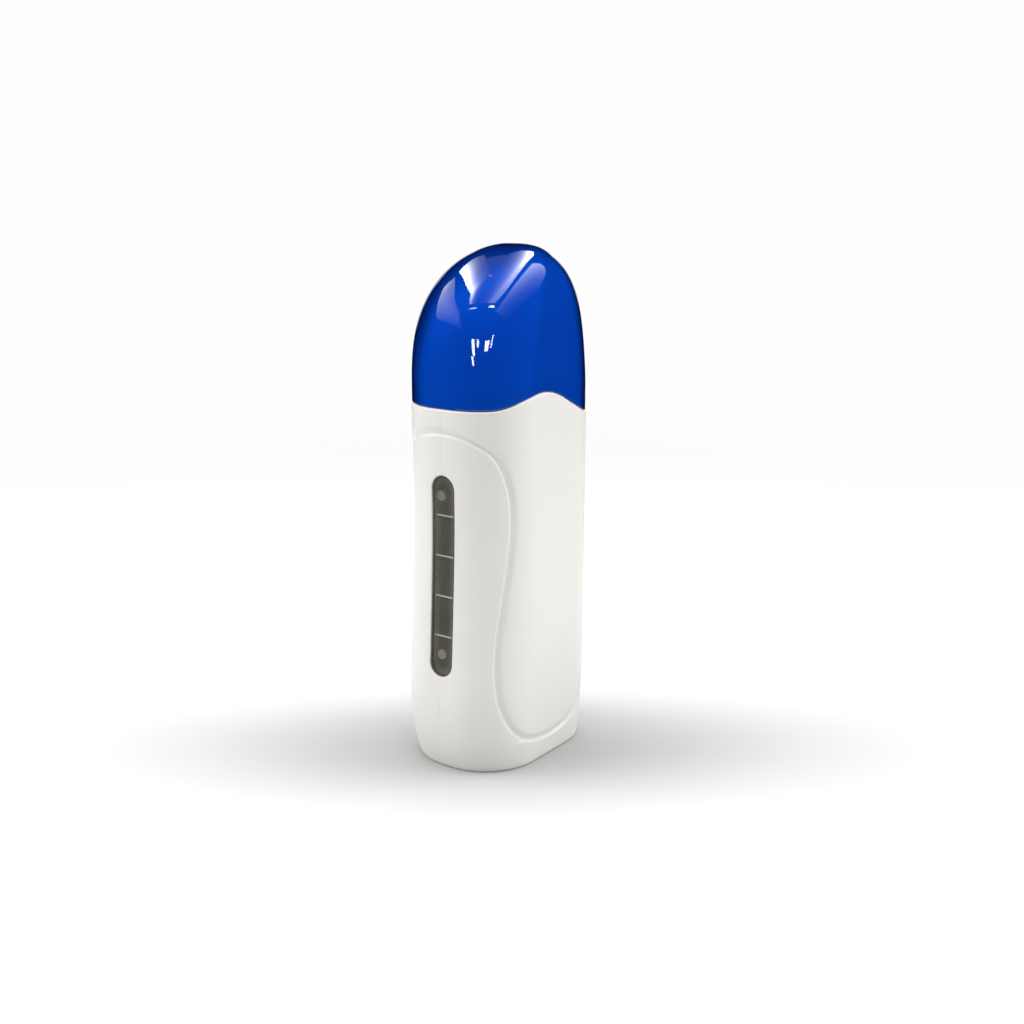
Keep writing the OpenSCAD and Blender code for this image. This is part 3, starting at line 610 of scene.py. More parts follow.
def inner_works(side):
    """Screw bosses, posts under the cartridge well and the ledge for its flange."""
    core = rings_to_solid("core", [outline_ring(z, WALL / 2, side) for z in (WALL / 2, 6, 12, 18, 26)],
                          False)
    parts = [bar(BOSS_R, 0.01 * side, 40 * side, y, z) for y, z in SCREWS]
    x1, x2 = sorted((12 * side, 16 * side))
    parts += [block((x1, y - 1, 0.5), (x2, y + 1, WELL_FLOOR - SLEEVE_WALL)) for y in (-14, 18)]
    first = combine(parts[0], parts[1:], "UNION")
    combine(first, [core], "INTERSECT")
    low, high = FLANGE - 4.2, FLANGE - 2.2
    ledge = wall_between("ledge", np.array([outline_ring(z, WALL / 2, side) for z in (low, high)]),
                         np.array([outline_ring(z, WALL + 1.4, side) for z in (low, high)]))
    out = [first, ledge]
    if side > 0:
        for way, z in TONGUES:
            w, f, b, rf, rb = section(float(z))
            face = float(b if way > 0 else -f) - WALL
            for start, stop in ((-3, face - 0.2), (0.1, face + 0.5)):
                ends = sorted([way * (face - 1.4), way * stop])
                out.append(block((start, ends[0], z - 2.5), (3, ends[1], z + 2.5)))
    return out


# %% The two halves
def shell_half(side):
    """One half of the body, as a closed wall with its bosses and holes."""
    mirror = np.array([side, 1, 1])
    outer = shell_points(depth_of, 0, 0.0) * mirror
    inner = shell_points(WALL + 0 * depth_of, WALL, WALL) * mirror
    half = wall_between("shell_right" if side > 0 else "shell_left", outer, inner)
    combine(half, inner_works(side), "UNION")
    cuts = [pill(20.2, 11.4, INLET_FACE - 6, 60, INLET_Z)]
    for y, z in SCREWS:
        if side > 0:
            cuts.append(bar(SCREW_R + 0.05, -1, 9, y, z))
        else:
            cuts += [bar(SCREW_R + 0.2, -50, 1, y, z), bar(HEAD_R + 0.4, -50, SCREW_SEAT, y, z)]
    combine(half, cuts, "DIFFERENCE")
    half.name = half.data.name = "body_half_right" if side > 0 else "body_half_left"
    half.data.set_sharp_from_angle(angle=math.radians(38))
    half.data.materials.clear()
    half.data.materials.append(body_white)
    return report(half)


halves = {"shell_right": shell_half(1), "shell_left": shell_half(-1)}
for node, half in halves.items():
    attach(half, "heater")
    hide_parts(node)

# %% [markdown]
# ## The cap's plastic
# The cap is polystyrene dyed a deep blue, half milky and half clear: part of the light scatters at
# its face in the dye's colour, and the rest goes through and is absorbed on its way. Light that
# crosses the wall at a slant meets more dye; that darkening towards the outline is painted shade in
# the base colour, by how slantwise the face is seen. The face is polished like the mould it came
# from, but for a small matt mark where the mould's gate was.

# %% Cap plastic
CAP_COLOUR, CAP_SHADE_AND_MARK, CAP_GLOSS = (0.002, 0.1, 0.71), (0.0002, 0.008, 0.06), 0.03
GATE, GATE_R = (8.3, -14.3, 194.1), 0.85
cap_blue, tree, surface = shader("cap_blue", CAP_COLOUR, CAP_GLOSS)
surface.inputs["Transmission Weight"].default_value = 0.5
surface.inputs["IOR"].default_value = 1.49
# Painted shade: the base colour darkens towards the outline, by how slantwise the face is seen.
slant = tree.nodes.new("ShaderNodeLayerWeight")
slant.inputs["Blend"].default_value = 0.5
through = ramp(tree, slant.outputs["Facing"], 0.3, 0.85)
mark = inside(tree, GATE, GATE_R)
shade = math_of(tree, "MAXIMUM", through, math_of(tree, "MULTIPLY", mark, 0.7))
tree.links.new(tint(tree, shade, CAP_COLOUR, CAP_SHADE_AND_MARK), surface.inputs["Base Color"])
matt = math_of(tree, "MULTIPLY", mark, 0.5)
tree.links.new(math_of(tree, "ADD", matt, CAP_GLOSS), surface.inputs["Roughness"])
dye = tree.nodes.new("ShaderNodeVolumeAbsorption")
dye.inputs["Color"].default_value = (0.05, 0.8, 0.96, 1)
dye.inputs["Density"].default_value = 500
tree.links.new(dye.outputs["Volume"], tree.nodes["Material Output"].inputs["Volume"])

# %% [markdown]
# ## The cap
# The cap is one closed surface: the outer dome from its apex to the rim, the lip that plugs into
# the mouth, and the inner dome. Each row is a loop round the outline, and a row's height follows
# the wavy mouth at its foot and is level at the apex.

# %% Loops of the cap
CROWN, CROWN_LOW, CROWN_RISE, CROWN_AWAY = 2.2, 156, 30, 32


def outline_places(z, inset, turn_front, turn_back, side_share, flat_share, pick):
    """Points of the right half at heights z, by their place on the outline's five stretches.

    The front of the dome isn't flat between its corners: it is crowned by up to CROWN, which grows
    above CROWN_LOW and shrinks as the front comes closer to the apex than CROWN_AWAY.
    """
    w, f, b, rf, rb = section(z, inset)
    on = [pick == k for k in range(4)]
    x = np.select(on, [(w - rf) * flat_share, w - rf + rf * np.sin(turn_front),
                       w, w - rb + rb * np.cos(turn_back)], (w - rb) * flat_share)
    y = np.select(on, [f, f + rf - rf * np.cos(turn_front),
                       f + rf + (b - rb - f - rf) * side_share, b - rb + rb * np.sin(turn_back)], b)
    reach = w - rf + 0.6 * rf
    rise = np.clip((z - CROWN_LOW) / CROWN_RISE, 0, 1)
    crown = CROWN * (APEX - f) / CROWN_AWAY * rise * rise * (3 - 2 * rise)
    y = y - np.where(y < APEX, crown * np.clip(1 - (x / reach) ** 2, 0, 1) ** 2, 0)
    return x, y


def half_columns():
    """The stretch each column of the cap lies on, and its share of it."""
    flat, arc_f, side, arc_b = 8, 64, 22, 52
    front = np.linspace(0, math.pi / 2, arc_f + 1)
    back = np.linspace(0, math.pi / 2, arc_b + 1)
    rows = [(0, 0, 0, 0, u) for u in np.linspace(0, 1, flat + 1)[:-1]]
    rows += [(1, a, 0, 0, 0) for a in front]
    rows += [(2, 0, 0, u, 0) for u in np.linspace(0, 1, side + 1)[1:-1]]
    rows += [(3, 0, c, 0, 0) for c in back]
    rows += [(4, 0, 0, 0, u) for u in np.linspace(1, 0, flat + 1)[1:]]
    return np.array(rows).T


stretch, *places = half_columns()


def cap_ring(t, inset, drop=0.0):
    """One closed loop of the cap: share t of the way from its rim to the apex."""
    top = DOME_TOP - CAP_INSET - inset
    level = np.full(len(stretch), BODY_REF)
    y_rim = outline_places(level, CAP_INSET + inset, *places, stretch)[1]
    rim = mouth_z(y_rim) + CAP_GAP - drop
    z = rim + (top - rim) * t
    x, y = outline_places(z + (CAP_INSET + inset) * t, CAP_INSET + inset, *places, stretch)
    right = np.stack([x, y, z], -1)
    left = right[-2:0:-1] * [-1, 1, 1]
    return np.concatenate([right, left])


TOP_TURN, RIM_EDGE, LIP_EDGE, LIP_BLEND = 89.2, 0.35, 0.3, 0.129
shares = np.sin(np.radians(np.linspace(0, TOP_TURN, 160)))
outer_lip = WALL + LIP_GAP - CAP_INSET
inner_lip = outer_lip + LIP_THICK


def lip_inset(t):
    """Inset of the inner dome, which grows out of the lip near the rim."""
    u = min(t / LIP_BLEND, 1)
    return inner_lip + (CAP_WALL - inner_lip) * u * u * (3 - 2 * u)


rings = [cap_ring(t, 0) for t in shares[::-1] if t > 0.012]
for a in np.linspace(0, math.pi / 2, 6):
    rings.append(cap_ring(0, RIM_EDGE * (1 - math.cos(a)), -RIM_EDGE * (1 - math.sin(a))))
lip = [(outer_lip - 0.15, 0), (outer_lip, 0.15), (outer_lip, LIP_DEEP - LIP_EDGE),
       (outer_lip + LIP_EDGE, LIP_DEEP), (inner_lip - LIP_EDGE, LIP_DEEP),
       (inner_lip, LIP_DEEP - LIP_EDGE), (inner_lip, 0)]
rings += [cap_ring(0, inset, drop) for inset, drop in lip]
rings += [cap_ring(t, lip_inset(t)) for t in np.sin(np.radians(np.linspace(0.8, TOP_TURN, 64)))]
cap = rings_to_solid("cap_dome", rings)
cap.data.set_sharp_from_angle(angle=math.radians(50))
cap.data.materials.append(cap_blue)
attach(cap, "cap")
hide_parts("cap")
report(cap)

# %% [markdown]
# ## The smoked pane
# Behind the slot sits a smoked tray: a flange behind the wall, a thin rim that lines the slot and a
# sunken pane. Its section is drawn once, as distances in from the slot's edge and depths under the
# body's face, and is carried round the slot. The plastic is dark and lets part of the light
# through. A painted highlight makes it paler in the corner between pane and rim, where that edge
# catches the light, and painted light makes two round spots near its ends paler, where something
# behind it shines through. Both are colour here, so they show from all sides.

# %% Pane plastic
SMOKE, PAINTED_LIGHT_COLOUR = (0.105, 0.102, 0.081), (0.33, 0.32, 0.27)
SPOTS, SPOT_R, CORNER_HIGHLIGHT = [(-2.3, 111.3), (-0.9, 47.8)], 2.1, 0.55
smoke, tree, surface = shader("smoke", SMOKE, 0.1)
surface.inputs["Alpha"].default_value = 0.62
surface.inputs["IOR"].default_value = 1.5
painted_light = 0.0
# Painted light: two paler round spots, where something behind the pane shines through.
for x, z in SPOTS:
    painted_light = math_of(tree, "ADD", inside(tree, (x, 0, z), SPOT_R, (1, 0, 1)), painted_light)
# Painted highlight: the corner between pane and rim, read from the point attribute corner, is made paler.
corner = tree.nodes.new("ShaderNodeAttribute")
corner.attribute_name = "corner"
painted_light = math_of(tree, "ADD", painted_light, corner.outputs["Fac"])
cloudy = spread(tree, noise(tree, 60, 2), 0.0, 0.15)
tree.links.new(tint(tree, math_of(tree, "ADD", painted_light, cloudy), SMOKE, PAINTED_LIGHT_COLOUR), surface.inputs["Base Color"])
grain(tree, surface, noise(tree, 400, 2), 4e-6)


# %% The pane
ARC, STRAIGHT = 28, 64


def slot_ring(inset, depth):
    """Loop round the slot at an inset from its edge, at a depth under the face."""
    r = SLOT_R - inset
    turn = np.linspace(0, math.pi, ARC + 1)
    climb_z = np.linspace(SLOT_LOW, SLOT_HIGH, STRAIGHT + 1)[1:-1]
    straight = np.full(STRAIGHT - 1, r)
    x = np.concatenate([r * np.cos(turn), -straight, -r * np.cos(turn), straight])
    z = np.concatenate([SLOT_HIGH + r * np.sin(turn), climb_z[::-1], SLOT_LOW - r * np.sin(turn), climb_z])
    return np.stack([x, section(z)[1] + depth, z], -1)


def faces_across(start, flip):
    """Faces that fill a slot ring from side to side, from its top down."""
    n = 2 * (ARC + STRAIGHT)
    half_arc = ARC // 2
    left = [half_arc + i for i in range(half_arc + STRAIGHT + half_arc + 1)]
    right = [(half_arc - i) % n for i in range(len(left))]
    out = []
    for k in range(len(left) - 1):
        quad = [left[k], right[k], right[k + 1], left[k + 1]]
        corners = [start + c for i, c in enumerate(quad) if c not in quad[:i]]
        out.append(tuple(corners[::-1] if flip else corners))
    return out


def tray_from(name, steps):
    """Closed body with one section all round the slot, from (inset, depth) steps."""
    loops = np.array([slot_ring(*step) for step in steps])
    m, n = loops.shape[:2]
    faces = grid_faces(m, n, closed=True) + faces_across(0, True) + faces_across((m - 1) * n, False)
    return object_from(name, loops.reshape(-1, 3), faces)


GAP, LAP, MIDDLE, FLANGE_FRONT, FLANGE_BACK = 0.15, 1.6, 3.6, WALL + 0.3, WALL + 1.2
tray = [(MIDDLE, PANE_DEEP), (RIM_W + 0.45, PANE_DEEP), (RIM_W + 0.25, PANE_DEEP - 0.05),
        (RIM_W + 0.1, PANE_DEEP - 0.18), (RIM_W, PANE_DEEP - 0.45), (RIM_W, RIM_DEEP + 0.2),
        (RIM_W - 0.06, RIM_DEEP + 0.06), (RIM_W - 0.2, RIM_DEEP), (GAP + 0.2, RIM_DEEP),
        (GAP + 0.06, RIM_DEEP + 0.06), (GAP, RIM_DEEP + 0.2), (GAP, FLANGE_FRONT),
        (-LAP, FLANGE_FRONT), (-LAP, FLANGE_BACK), (MIDDLE, FLANGE_BACK)]
pane = tray_from("smoked_pane", tray)
pane.data.set_sharp_from_angle(angle=math.radians(40))
pane.data.materials.append(smoke)
# Painted highlight: the points of the corner loops between pane and rim get the paler colour.
corner = pane.data.attributes.new("corner", "FLOAT", "POINT")
loop = 2 * (ARC + STRAIGHT)
for i in range(loop, 4 * loop):
    corner.data[i].value = CORNER_HIGHLIGHT
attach(pane, "heater")
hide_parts("window_pane")
report(pane)

# %% [markdown]
# ## Level bars
# Four raised bars cross the pane, so the user can read how much wax is left. They repeat at an even
# distance, so Geometry Nodes place them: a small rounded bar is swept once and put on four points
# that lie on the pane.

# %% Tree for a row of bars
def bars_tree(material):
    """Node tree that puts a rounded bar on every point of the mesh it is given."""
    tree = bpy.data.node_groups.new("level_bars", "GeometryNodeTree")
    face = tree.interface
    face.new_socket("Geometry", in_out="INPUT", socket_type="NodeSocketGeometry")
    sizes = {name: face.new_socket(name, in_out="INPUT", socket_type="NodeSocketFloat")
             for name in ("Length", "Height", "Stand")}
    face.new_socket("Geometry", in_out="OUTPUT", socket_type="NodeSocketGeometry")
    make, join = tree.nodes.new, tree.links.new
    given, out = make("NodeGroupInput"), make("NodeGroupOutput")
    spine = make("GeometryNodeCurvePrimitiveLine")
    for end, half in (("Start", -0.5), ("End", 0.5)):
        place = make("ShaderNodeCombineXYZ")
        join(math_of(tree, "MULTIPLY", given.outputs["Length"], half), place.inputs["X"])
        join(place.outputs[0], spine.inputs[end])
    section_line = make("GeometryNodeCurvePrimitiveQuadrilateral")
    rounding = make("GeometryNodeFilletCurve")
    rounding.mode = "POLY"
    rounding.inputs["Count"].default_value = 5
    rounding.inputs["Limit Radius"].default_value = True
    sweep = make("GeometryNodeCurveToMesh")
    sweep.inputs["Fill Caps"].default_value = True
    put, real = make("GeometryNodeInstanceOnPoints"), make("GeometryNodeRealizeInstances")
    paint = make("GeometryNodeSetMaterial")
    paint.inputs["Material"].default_value = material
    join(given.outputs["Height"], section_line.inputs["Width"])
    join(given.outputs["Stand"], section_line.inputs["Height"])
    join(section_line.outputs["Curve"], rounding.inputs["Curve"])
    join(given.outputs["Height"], rounding.inputs["Radius"])
    join(spine.outputs["Curve"], sweep.inputs["Curve"])
    join(rounding.outputs["Curve"], sweep.inputs["Profile Curve"])
    join(given.outputs["Geometry"], put.inputs["Points"])
    join(sweep.outputs["Mesh"], put.inputs["Instance"])
    join(put.outputs["Instances"], real.inputs["Geometry"])
    join(real.outputs["Geometry"], paint.inputs["Geometry"])
    join(paint.outputs["Geometry"], out.inputs["Geometry"])
    return tree, {name: socket.identifier for name, socket in sizes.items()}


# %% The level bars
BAR_LONG, BAR_TALL, BAR_STAND = WINDOW_W - 2 * RIM_W - 0.1, 0.7, 0.7
bar_grey = moulded("bar_grey", (0.4, 0.395, 0.36), 0.25, shade=0.05)
bar_z = [WINDOW_LOW + (WINDOW_HIGH - WINDOW_LOW) * i / WINDOW_SPACES for i in range(1, WINDOW_SPACES)]
bar_points = bpy.data.meshes.new("level_bars")
bar_points.from_pydata([(0, (float(section(z)[1]) + PANE_DEEP) * MM, z * MM) for z in bar_z], [], [])
bars = bpy.data.objects.new("level_bars", bar_points)
bpy.context.scene.collection.objects.link(bars)
tree, sockets = bars_tree(bar_grey)
step = bars.modifiers.new("bars", "NODES")
step.node_group = tree
for name, size in (("Length", BAR_LONG), ("Height", BAR_TALL), ("Stand", BAR_STAND)):
    step[sockets[name]] = size * MM
apply_all(bars)
for polygon in bars.data.polygons:
    polygon.use_smooth = True
bars.data.set_sharp_from_angle(angle=math.radians(40))
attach(bars, "heater")
report(bars)

# %% [markdown]
# ## What is inside
# The inner pieces keep their CAD shapes, because bent sheet, rivets and leads are already right
# there. Each gets the finish of its real material: rolled aluminium and nickelled steel with drawn
# lines, ceramic and mica with a fine grain, moulded nylon, and PVC on the leads.

# %% Finishes of the inner pieces
dress("cartridge_sleeve", moulded("sleeve_ivory", (0.62, 0.6, 0.54), 0.42, shade=0.04))
dress("heater_plate", sheet_metal("rolled_aluminium", (0.72, 0.73, 0.74), 0.32))
steel = sheet_metal("nickelled_steel", (0.62, 0.61, 0.58), 0.26, per_metre=1400)
for node in ("plate_rivets", "clamp_screws", "spring_rivets"):
    dress(node, steel)
dress("shell_screws", sheet_metal("zinc_screw", (0.55, 0.56, 0.57), 0.3, along_axis=0, per_metre=2200))
dress("heater_clamp", sheet_metal("clamp_steel", (0.58, 0.57, 0.55), 0.34, per_metre=700))
dress("pressure_spring", sheet_metal("spring_steel", (0.5, 0.5, 0.49), 0.28, per_metre=1100))
tin = sheet_metal("tinned_copper", (0.68, 0.6, 0.52), 0.3, per_metre=1200)
dress("electrode_inner", tin)
dress("electrode_outer", tin)
dress("inlet_pins", sheet_metal("pin_brass", (0.74, 0.68, 0.5), 0.24, along_axis=1, per_metre=1600))
dress("ptc_chips", moulded("ceramic", (0.22, 0.2, 0.18), 0.7, depth=2e-5, per_metre=1500, shade=0.2))
dress("mica_sheet", moulded("mica", (0.5, 0.42, 0.28), 0.3, depth=1e-5, per_metre=350, shade=0.25))
dress("insulation_film", moulded("amber_film", (0.5, 0.22, 0.03), 0.2, per_metre=500, shade=0.1))
dress("thermal_fuse", sheet_metal("fuse_can", (0.66, 0.56, 0.38), 0.25, per_metre=1500))
sleeving = moulded("glass_sleeving", (0.78, 0.74, 0.62), 0.75, depth=4e-5, per_metre=1800, shade=0.12)
dress("fuse_sleeve", sleeving)
dress("lamp_resistor", moulded("resistor_coat", (0.55, 0.44, 0.26), 0.45, shade=0.1))
dress("lamp_leads", moulded("lead_black", (0.02, 0.02, 0.02), 0.45))
black = moulded("inlet_black", (0.022, 0.022, 0.023), 0.5, depth=1.2e-5, per_metre=1800, shade=0.2)
dress("inlet_housing", black)
dress("live_lead", moulded("lead_brown", (0.16, 0.06, 0.025), 0.42))
dress("neutral_lead", moulded("lead_blue", (0.02, 0.09, 0.34), 0.42))
dress("fuse_lead", moulded("lead_red", (0.42, 0.03, 0.02), 0.42))
dress("terminals", moulded("terminal_nylon", (0.62, 0.6, 0.52), 0.5))
dress("lead_clip", moulded("clip_nylon", (0.7, 0.69, 0.65), 0.45))
glass, tree, surface = shader("lamp_glass", (0.8, 0.62, 0.5), 0.08)
surface.inputs["Transmission Weight"].default_value = 0.6
surface.inputs["IOR"].default_value = 1.5
grain(tree, surface, noise(tree, 300, 2), 5e-6)
dress("indicator_lamp", glass)
plain = [n for n, thing in nodes_of.items() if not thing.hide_render and not thing.data.materials]
print("nodes without a finish:", plain)

# %% [markdown]
# ## Studio
# The object stands on a white floor that meets a white background without a line. Up to NEAR the
# floor is matt and takes the object's shadow, and a broad soft shade is painted on it round the
# foot. Beyond FAR it glows as white as the background. The lamps stay at a plain level, so the
# plastic renders about as its colour is written.

# %% Floor
floor_white, tree, surface = shader("floor_white", (0.8, 0.8, 0.8), 1.0)
surface.inputs["Specular IOR Level"].default_value = 0.0
floor = bpy.data.objects.new("floor", bpy.data.meshes.new("floor"))
floor.data.from_pydata([(-12, -12, 0), (12, -12, 0), (12, 12, 0), (-12, 12, 0)], [], [(0, 1, 2, 3)])
bpy.context.scene.collection.objects.link(floor)
floor.data.materials.append(floor_white)


def seen_or_mirrored(tree):
    """1 for a ray from the camera or from a mirror or glass face, and 0 for other light."""
    path = tree.nodes.new("ShaderNodeLightPath")
    either = math_of(tree, "MAXIMUM", path.outputs["Is Camera Ray"], path.outputs["Is Glossy Ray"])
    return math_of(tree, "MAXIMUM", either, path.outputs["Is Transmission Ray"])


def distance_in(tree, turn, size, centre=(0, 0, 0)):
    """Distance from a centre in the floor's plane, in a turned frame and in units of size."""
    turned = tree.nodes.new("ShaderNodeVectorRotate")
    turned.rotation_type = "Z_AXIS"
    turned.inputs["Angle"].default_value = turn
    tree.links.new(tree.nodes.new("ShaderNodeTexCoord").outputs["Object"], turned.inputs["Vector"])
    moved = vector_of(tree, "SUBTRACT", turned.outputs["Vector"], centre)["Vector"]
    scaled = vector_of(tree, "DIVIDE", moved, size)["Vector"]
    return vector_of(tree, "LENGTH", scaled)["Value"]


WHITE = (0.99, 0.985, 0.985, 1)


def white_glow(tree, strength):
    """White light of a strength, which is a number or an output."""
    glow = tree.nodes.new("ShaderNodeEmission")
    glow.inputs["Color"].default_value = WHITE
    if isinstance(strength, float):
        glow.inputs["Strength"].default_value = strength
    else:
        tree.links.new(strength, glow.inputs["Strength"])
    return glow.outputs["Emission"]


NEAR, FAR, LIFT, SHADE = 0.28, 0.8, 0.12, 0.42
SHADE_SIZE, SHADE_MIDDLE = (0.086, 0.035, 1), (0.005, -0.011, 0)
wide = distance_in(tree, -azimuth, SHADE_SIZE, SHADE_MIDDLE)
squared = math_of(tree, "MULTIPLY", wide, wide)
shade = math_of(tree, "POWER", math.e, math_of(tree, "MULTIPLY", squared, -0.5))
bright = math_of(tree, "SUBTRACT", 1.0, math_of(tree, "MULTIPLY", shade, SHADE))
tree.links.new(tint(tree, bright, (0, 0, 0), (0.64, 0.64, 0.64)), surface.inputs["Base Color"])
away = ramp(tree, distance_in(tree, 0.0, (1, 1, 1)), NEAR, FAR)
lifted = tree.nodes.new("ShaderNodeAddShader")
tree.links.new(surface.outputs["BSDF"], lifted.inputs[0])
tree.links.new(white_glow(tree, math_of(tree, "MULTIPLY", bright, LIFT)), lifted.inputs[1])
fading = tree.nodes.new("ShaderNodeMixShader")
tree.links.new(away, fading.inputs["Fac"])
tree.links.new(lifted.outputs["Shader"], fading.inputs[1])
tree.links.new(white_glow(tree, 1.0), fading.inputs[2])
choice = tree.nodes.new("ShaderNodeMixShader")
tree.links.new(seen_or_mirrored(tree), choice.inputs["Fac"])
tree.links.new(surface.outputs["BSDF"], choice.inputs[1])
tree.links.new(fading.outputs["Shader"], choice.inputs[2])
tree.links.new(choice.outputs["Shader"], tree.nodes["Material Output"].inputs["Surface"])

# %% Background
AMBIENT = 0.5
world = bpy.data.worlds.new("studio")
bpy.context.scene.world = world
world.use_nodes = True
sky = world.node_tree.nodes["Background"]
sky.inputs["Color"].default_value = WHITE
level = world.node_tree.nodes.new("ShaderNodeMapRange")
level.inputs["To Min"].default_value, level.inputs["To Max"].default_value = AMBIENT, 1.0
world.node_tree.links.new(seen_or_mirrored(world.node_tree), level.inputs["Value"])
world.node_tree.links.new(level.outputs["Result"], sky.inputs["Strength"])


# %% [markdown]
# ## Lamps and reflection cards
# Three large softboxes light the plastic. What a glossy cap looks like is mostly what it mirrors,
# so a photographer sets dark cloths and lit cards round it. They are made the same way here: the
# cloths and cards show in mirrored light alone and add nothing to the light on the object.

# %% Lamps
def softbox(name, place, aim, wide, tall, power):
    """A lit panel that faces a point, for matt faces alone."""
    light = bpy.data.lights.new(name, "AREA")
    light.shape, light.size, light.size_y, light.energy = "RECTANGLE", wide, tall, power
    lamp = bpy.data.objects.new(name, light)
    bpy.context.scene.collection.objects.link(lamp)
    lamp.visible_camera = lamp.visible_glossy = False
    lamp.location = place
    lamp.rotation_euler = (Vector(aim) - Vector(place)).to_track_quat("-Z", "Y").to_euler()
    return lamp


middle = Vector((0, 0, 0.1))
softbox("above", (0, 0, 1.3), middle, 1.0, 1.0, 12.5)
softbox("left", -1.1 * aside + Vector((0, 0, 0.75)), middle, 0.8, 1.0, 8.6)
softbox("right", 1.1 * aside + Vector((0, 0, 0.75)), middle, 0.8, 1.0, 8.3)


# %% Cards that only mirrors see
def card(name, near, far, strength, light=None):
    """A lit card between a near and a far edge, each given by its left and its right corner.

    light(tree, across, out) gives the share of the strength at a place on the card: across goes
    from the left edge to the right one, and out from the near edge to the far one.
    """
    steps = 12
    points, faces = [], grid_faces(steps + 1, steps + 1)
    near, far = [Vector(p) for p in near], [Vector(p) for p in far]
    for v in np.linspace(0, 1, steps + 1):
        left, right = near[0].lerp(far[0], v), near[1].lerp(far[1], v)
        points += [tuple(left.lerp(right, u)) for u in np.linspace(0, 1, steps + 1)]
    mesh = bpy.data.meshes.new(name)
    mesh.from_pydata(points, [], faces)
    spread_uv = mesh.uv_layers.new(name="spread")
    for loop in mesh.loops:
        i, j = divmod(loop.vertex_index, steps + 1)
        spread_uv.data[loop.index].uv = (j / steps, i / steps)
    thing = bpy.data.objects.new(name, mesh)
    bpy.context.scene.collection.objects.link(thing)
    material = bpy.data.materials.new(name)
    material.use_nodes = True
    tree = material.node_tree
    tree.nodes.remove(tree.nodes["Principled BSDF"])
    if light:
        uv = tree.nodes.new("ShaderNodeUVMap")
        uv.uv_map = "spread"
        parts = tree.nodes.new("ShaderNodeSeparateXYZ")
        tree.links.new(uv.outputs["UV"], parts.inputs["Vector"])
        strength = math_of(tree, "MULTIPLY", light(tree, parts.outputs["X"], parts.outputs["Y"]), strength)
    tree.links.new(white_glow(tree, strength), tree.nodes["Material Output"].inputs["Surface"])
    mesh.materials.append(material)
    thing.visible_camera = thing.visible_diffuse = thing.visible_transmission = False
    thing.visible_shadow = thing.visible_volume_scatter = False
    return thing


CEILING = 3.0


def overhead(name, near, far, strength, light=None, height=CEILING):
    """Card on the ceiling. A corner is how far towards the camera and to the right, in ceiling heights."""
    near, far = [[toward * (height * a) + aside * (height * b) + Vector((0, 0, height + 0.19))
                  for a, b in edge] for edge in (near, far)]
    return card(name, near, far, strength, light)


def upright(name, turn, rise, wide, tall, strength, reach=3.0):
    """Card that faces the cap, at a turn from the camera's side and a rise, with sizes in degrees."""
    a, e = math.radians(turn), math.radians(rise)
    out = (toward * math.cos(a) + aside * math.sin(a)) * math.cos(e) + Vector((0, 0, math.sin(e)))
    across = out.cross(Vector((0, 0, 1))).normalized()
    up = across.cross(out)
    dx, dy = across * (reach * math.radians(wide) / 2), up * (reach * math.radians(tall) / 2)
    hub = out * reach + Vector((0, 0, 0.17))
    return card(name, (hub - dx - dy, hub + dx - dy), (hub - dx + dy, hub + dx + dy), strength)


def fall_off(tree, value, start, length):
    """1 up to start, then dying away with the given length."""
    past = math_of(tree, "MAXIMUM", math_of(tree, "SUBTRACT", value, start), 0.0)
    return math_of(tree, "POWER", math.e, math_of(tree, "DIVIDE", past, -length))


DIM = 0.011


def frame_light(tree, across, out):
    """Dim, and bright along its right edge, brighter far away."""
    edge = fall_off(tree, math_of(tree, "SUBTRACT", 1.0, across), 0.14, 0.08)
    edge = math_of(tree, "MULTIPLY", edge, ramp(tree, out, 0.0, 0.95, 0.2, 1.0))
    return math_of(tree, "ADD", edge, DIM)


def band_light(tree, across, out):
    """Bright along its left edge, dimmer near by."""
    edge = fall_off(tree, across, 0.25, 0.17)
    edge = math_of(tree, "MULTIPLY", edge, ramp(tree, out, 0.0, 0.4, 0.35, 1.0))
    return math_of(tree, "ADD", edge, DIM)


def side_light(tree, across, out):
    """Fades towards its near end and its right edge."""
    along_out = math_of(tree, "POWER", out, 1.25)
    return math_of(tree, "MULTIPLY", along_out, ramp(tree, across, 0.8, 1.1, 1.0, 0.3))


def edge_light(tree, across, out):
    """Brightest at its far left corner."""
    along_across = fall_off(tree, across, 0.0, 0.36)
    return math_of(tree, "MULTIPLY", along_across, ramp(tree, out, 0.0, 1.1, 0.15, 1.0))


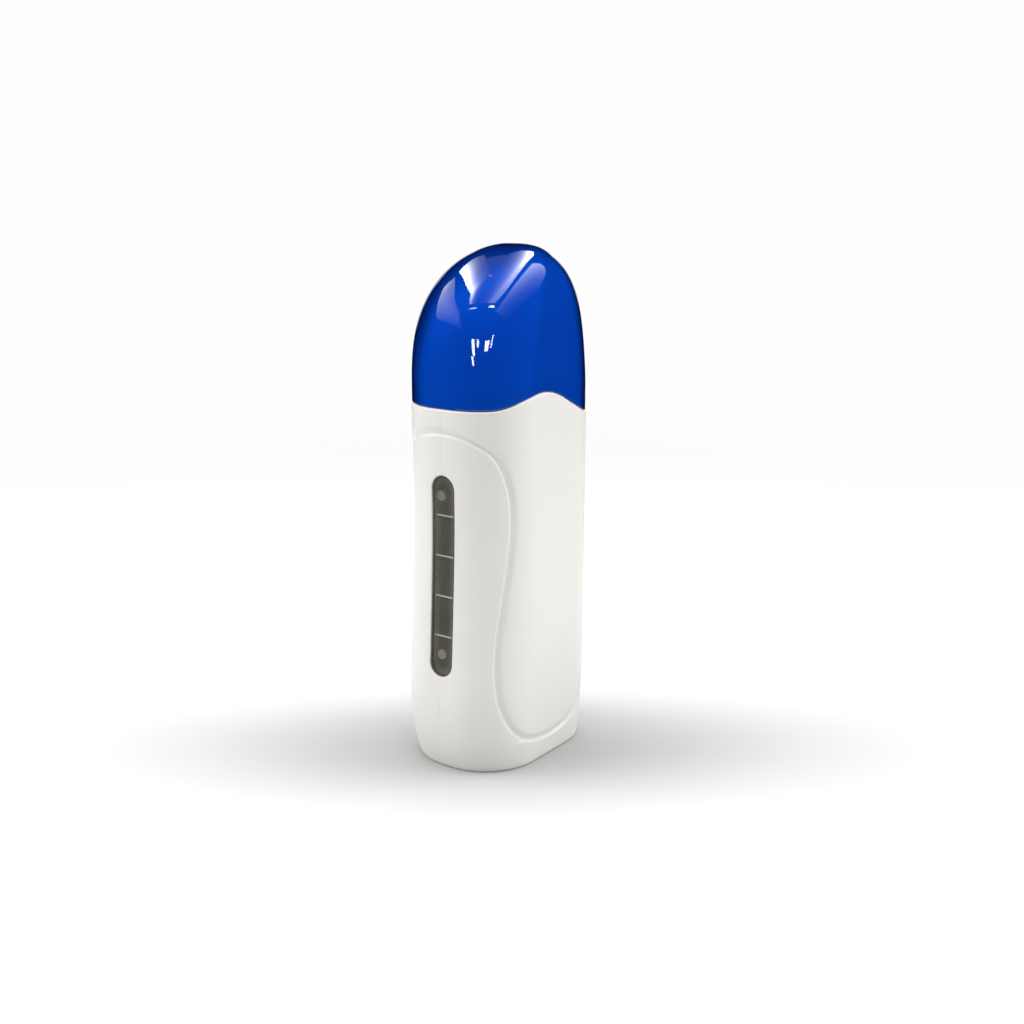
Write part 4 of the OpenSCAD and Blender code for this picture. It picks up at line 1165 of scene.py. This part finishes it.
overhead("ceiling_frame", ((0.17, -0.47), (0.5, -0.05)), ((-1.3, -0.56), (-0.9, 0.24)), 17.0, frame_light)
overhead("ceiling_band", ((0.17, -0.47), (0.3, -0.31)), ((-1.12, -0.57), (-1.42, -0.34)), 16.0, band_light,
         CEILING - 0.02)
overhead("ceiling_left", ((0.8, -1.35), (1.45, -0.98)), ((-2.6, -2.2), (-1.0, -0.63)), 3.4, side_light)
overhead("ceiling_right", ((0.75, -0.02), (1.3, 0.5)), ((-0.42, 0.3), (-1.25, 2.9)), 7.0, edge_light)
overhead("spot_left", ((0.37, -0.48), (0.48, -0.32)), ((0.34, -0.46), (0.45, -0.30)), 16.0)
overhead("spot_right", ((0.6, -0.1), (0.63, -0.04)), ((0.53, -0.11), (0.56, -0.05)), 26.0)
upright("pane_a", -17.5, 17, 3.6, 14, 28.0)
upright("pane_b", -11.5, 20.5, 2, 7, 24.0)
upright("pane_c", -1, 18.5, 4.4, 9, 28.0)
upright("pane_d", 6, 21, 1.8, 11, 28.0)
upright("pane_e", -20, 6, 3, 6, 24.0)


def dark_cloth():
    """Dark tent round the whole set, open low down behind the object, with cloths on the floor."""
    rows, columns, reach, lift = 10, 48, 6.0, Vector((0, 0, 0.002))
    points, faces = [], []
    for i in range(rows + 1):
        e = math.radians(-2 + 92 * i / rows)
        for j in range(columns):
            a = 2 * math.pi * j / columns
            out = (toward * math.cos(a) + aside * math.sin(a)) * math.cos(e) + Vector((0, 0, math.sin(e)))
            points.append(out * reach)
    for i in range(rows):
        for j in range(columns):
            if i < 2 and abs(j + 0.5 - columns / 2) < 2.6:
                continue
            k = (j + 1) % columns
            faces.append((i * columns + j, i * columns + k, (i + 1) * columns + k, (i + 1) * columns + j))
    for near, far, middle_way, half in ((0.55, 7.0, 0, 180), (0.11, 0.56, -72, 14)):
        hub = len(points)
        for reach_floor in (near, far):
            for j in range(columns + 1):
                a = math.radians(middle_way - half + 2 * half * j / columns)
                points.append((toward * math.cos(a) + aside * math.sin(a)) * reach_floor + lift)
        for j in range(columns):
            faces.append((hub + j, hub + j + 1, hub + columns + 2 + j, hub + columns + 1 + j))
    cloth = card("dark_cloth", ((0, 0, 9), (1, 0, 9)), ((0, 1, 9), (1, 1, 9)), 0.004)
    mesh = bpy.data.meshes.new("cloth")
    mesh.from_pydata([tuple(p) for p in points], [], faces)
    mesh.materials.append(cloth.data.materials[0])
    cloth.data = mesh


dark_cloth()
bpy.context.scene.view_settings.view_transform = "Standard"
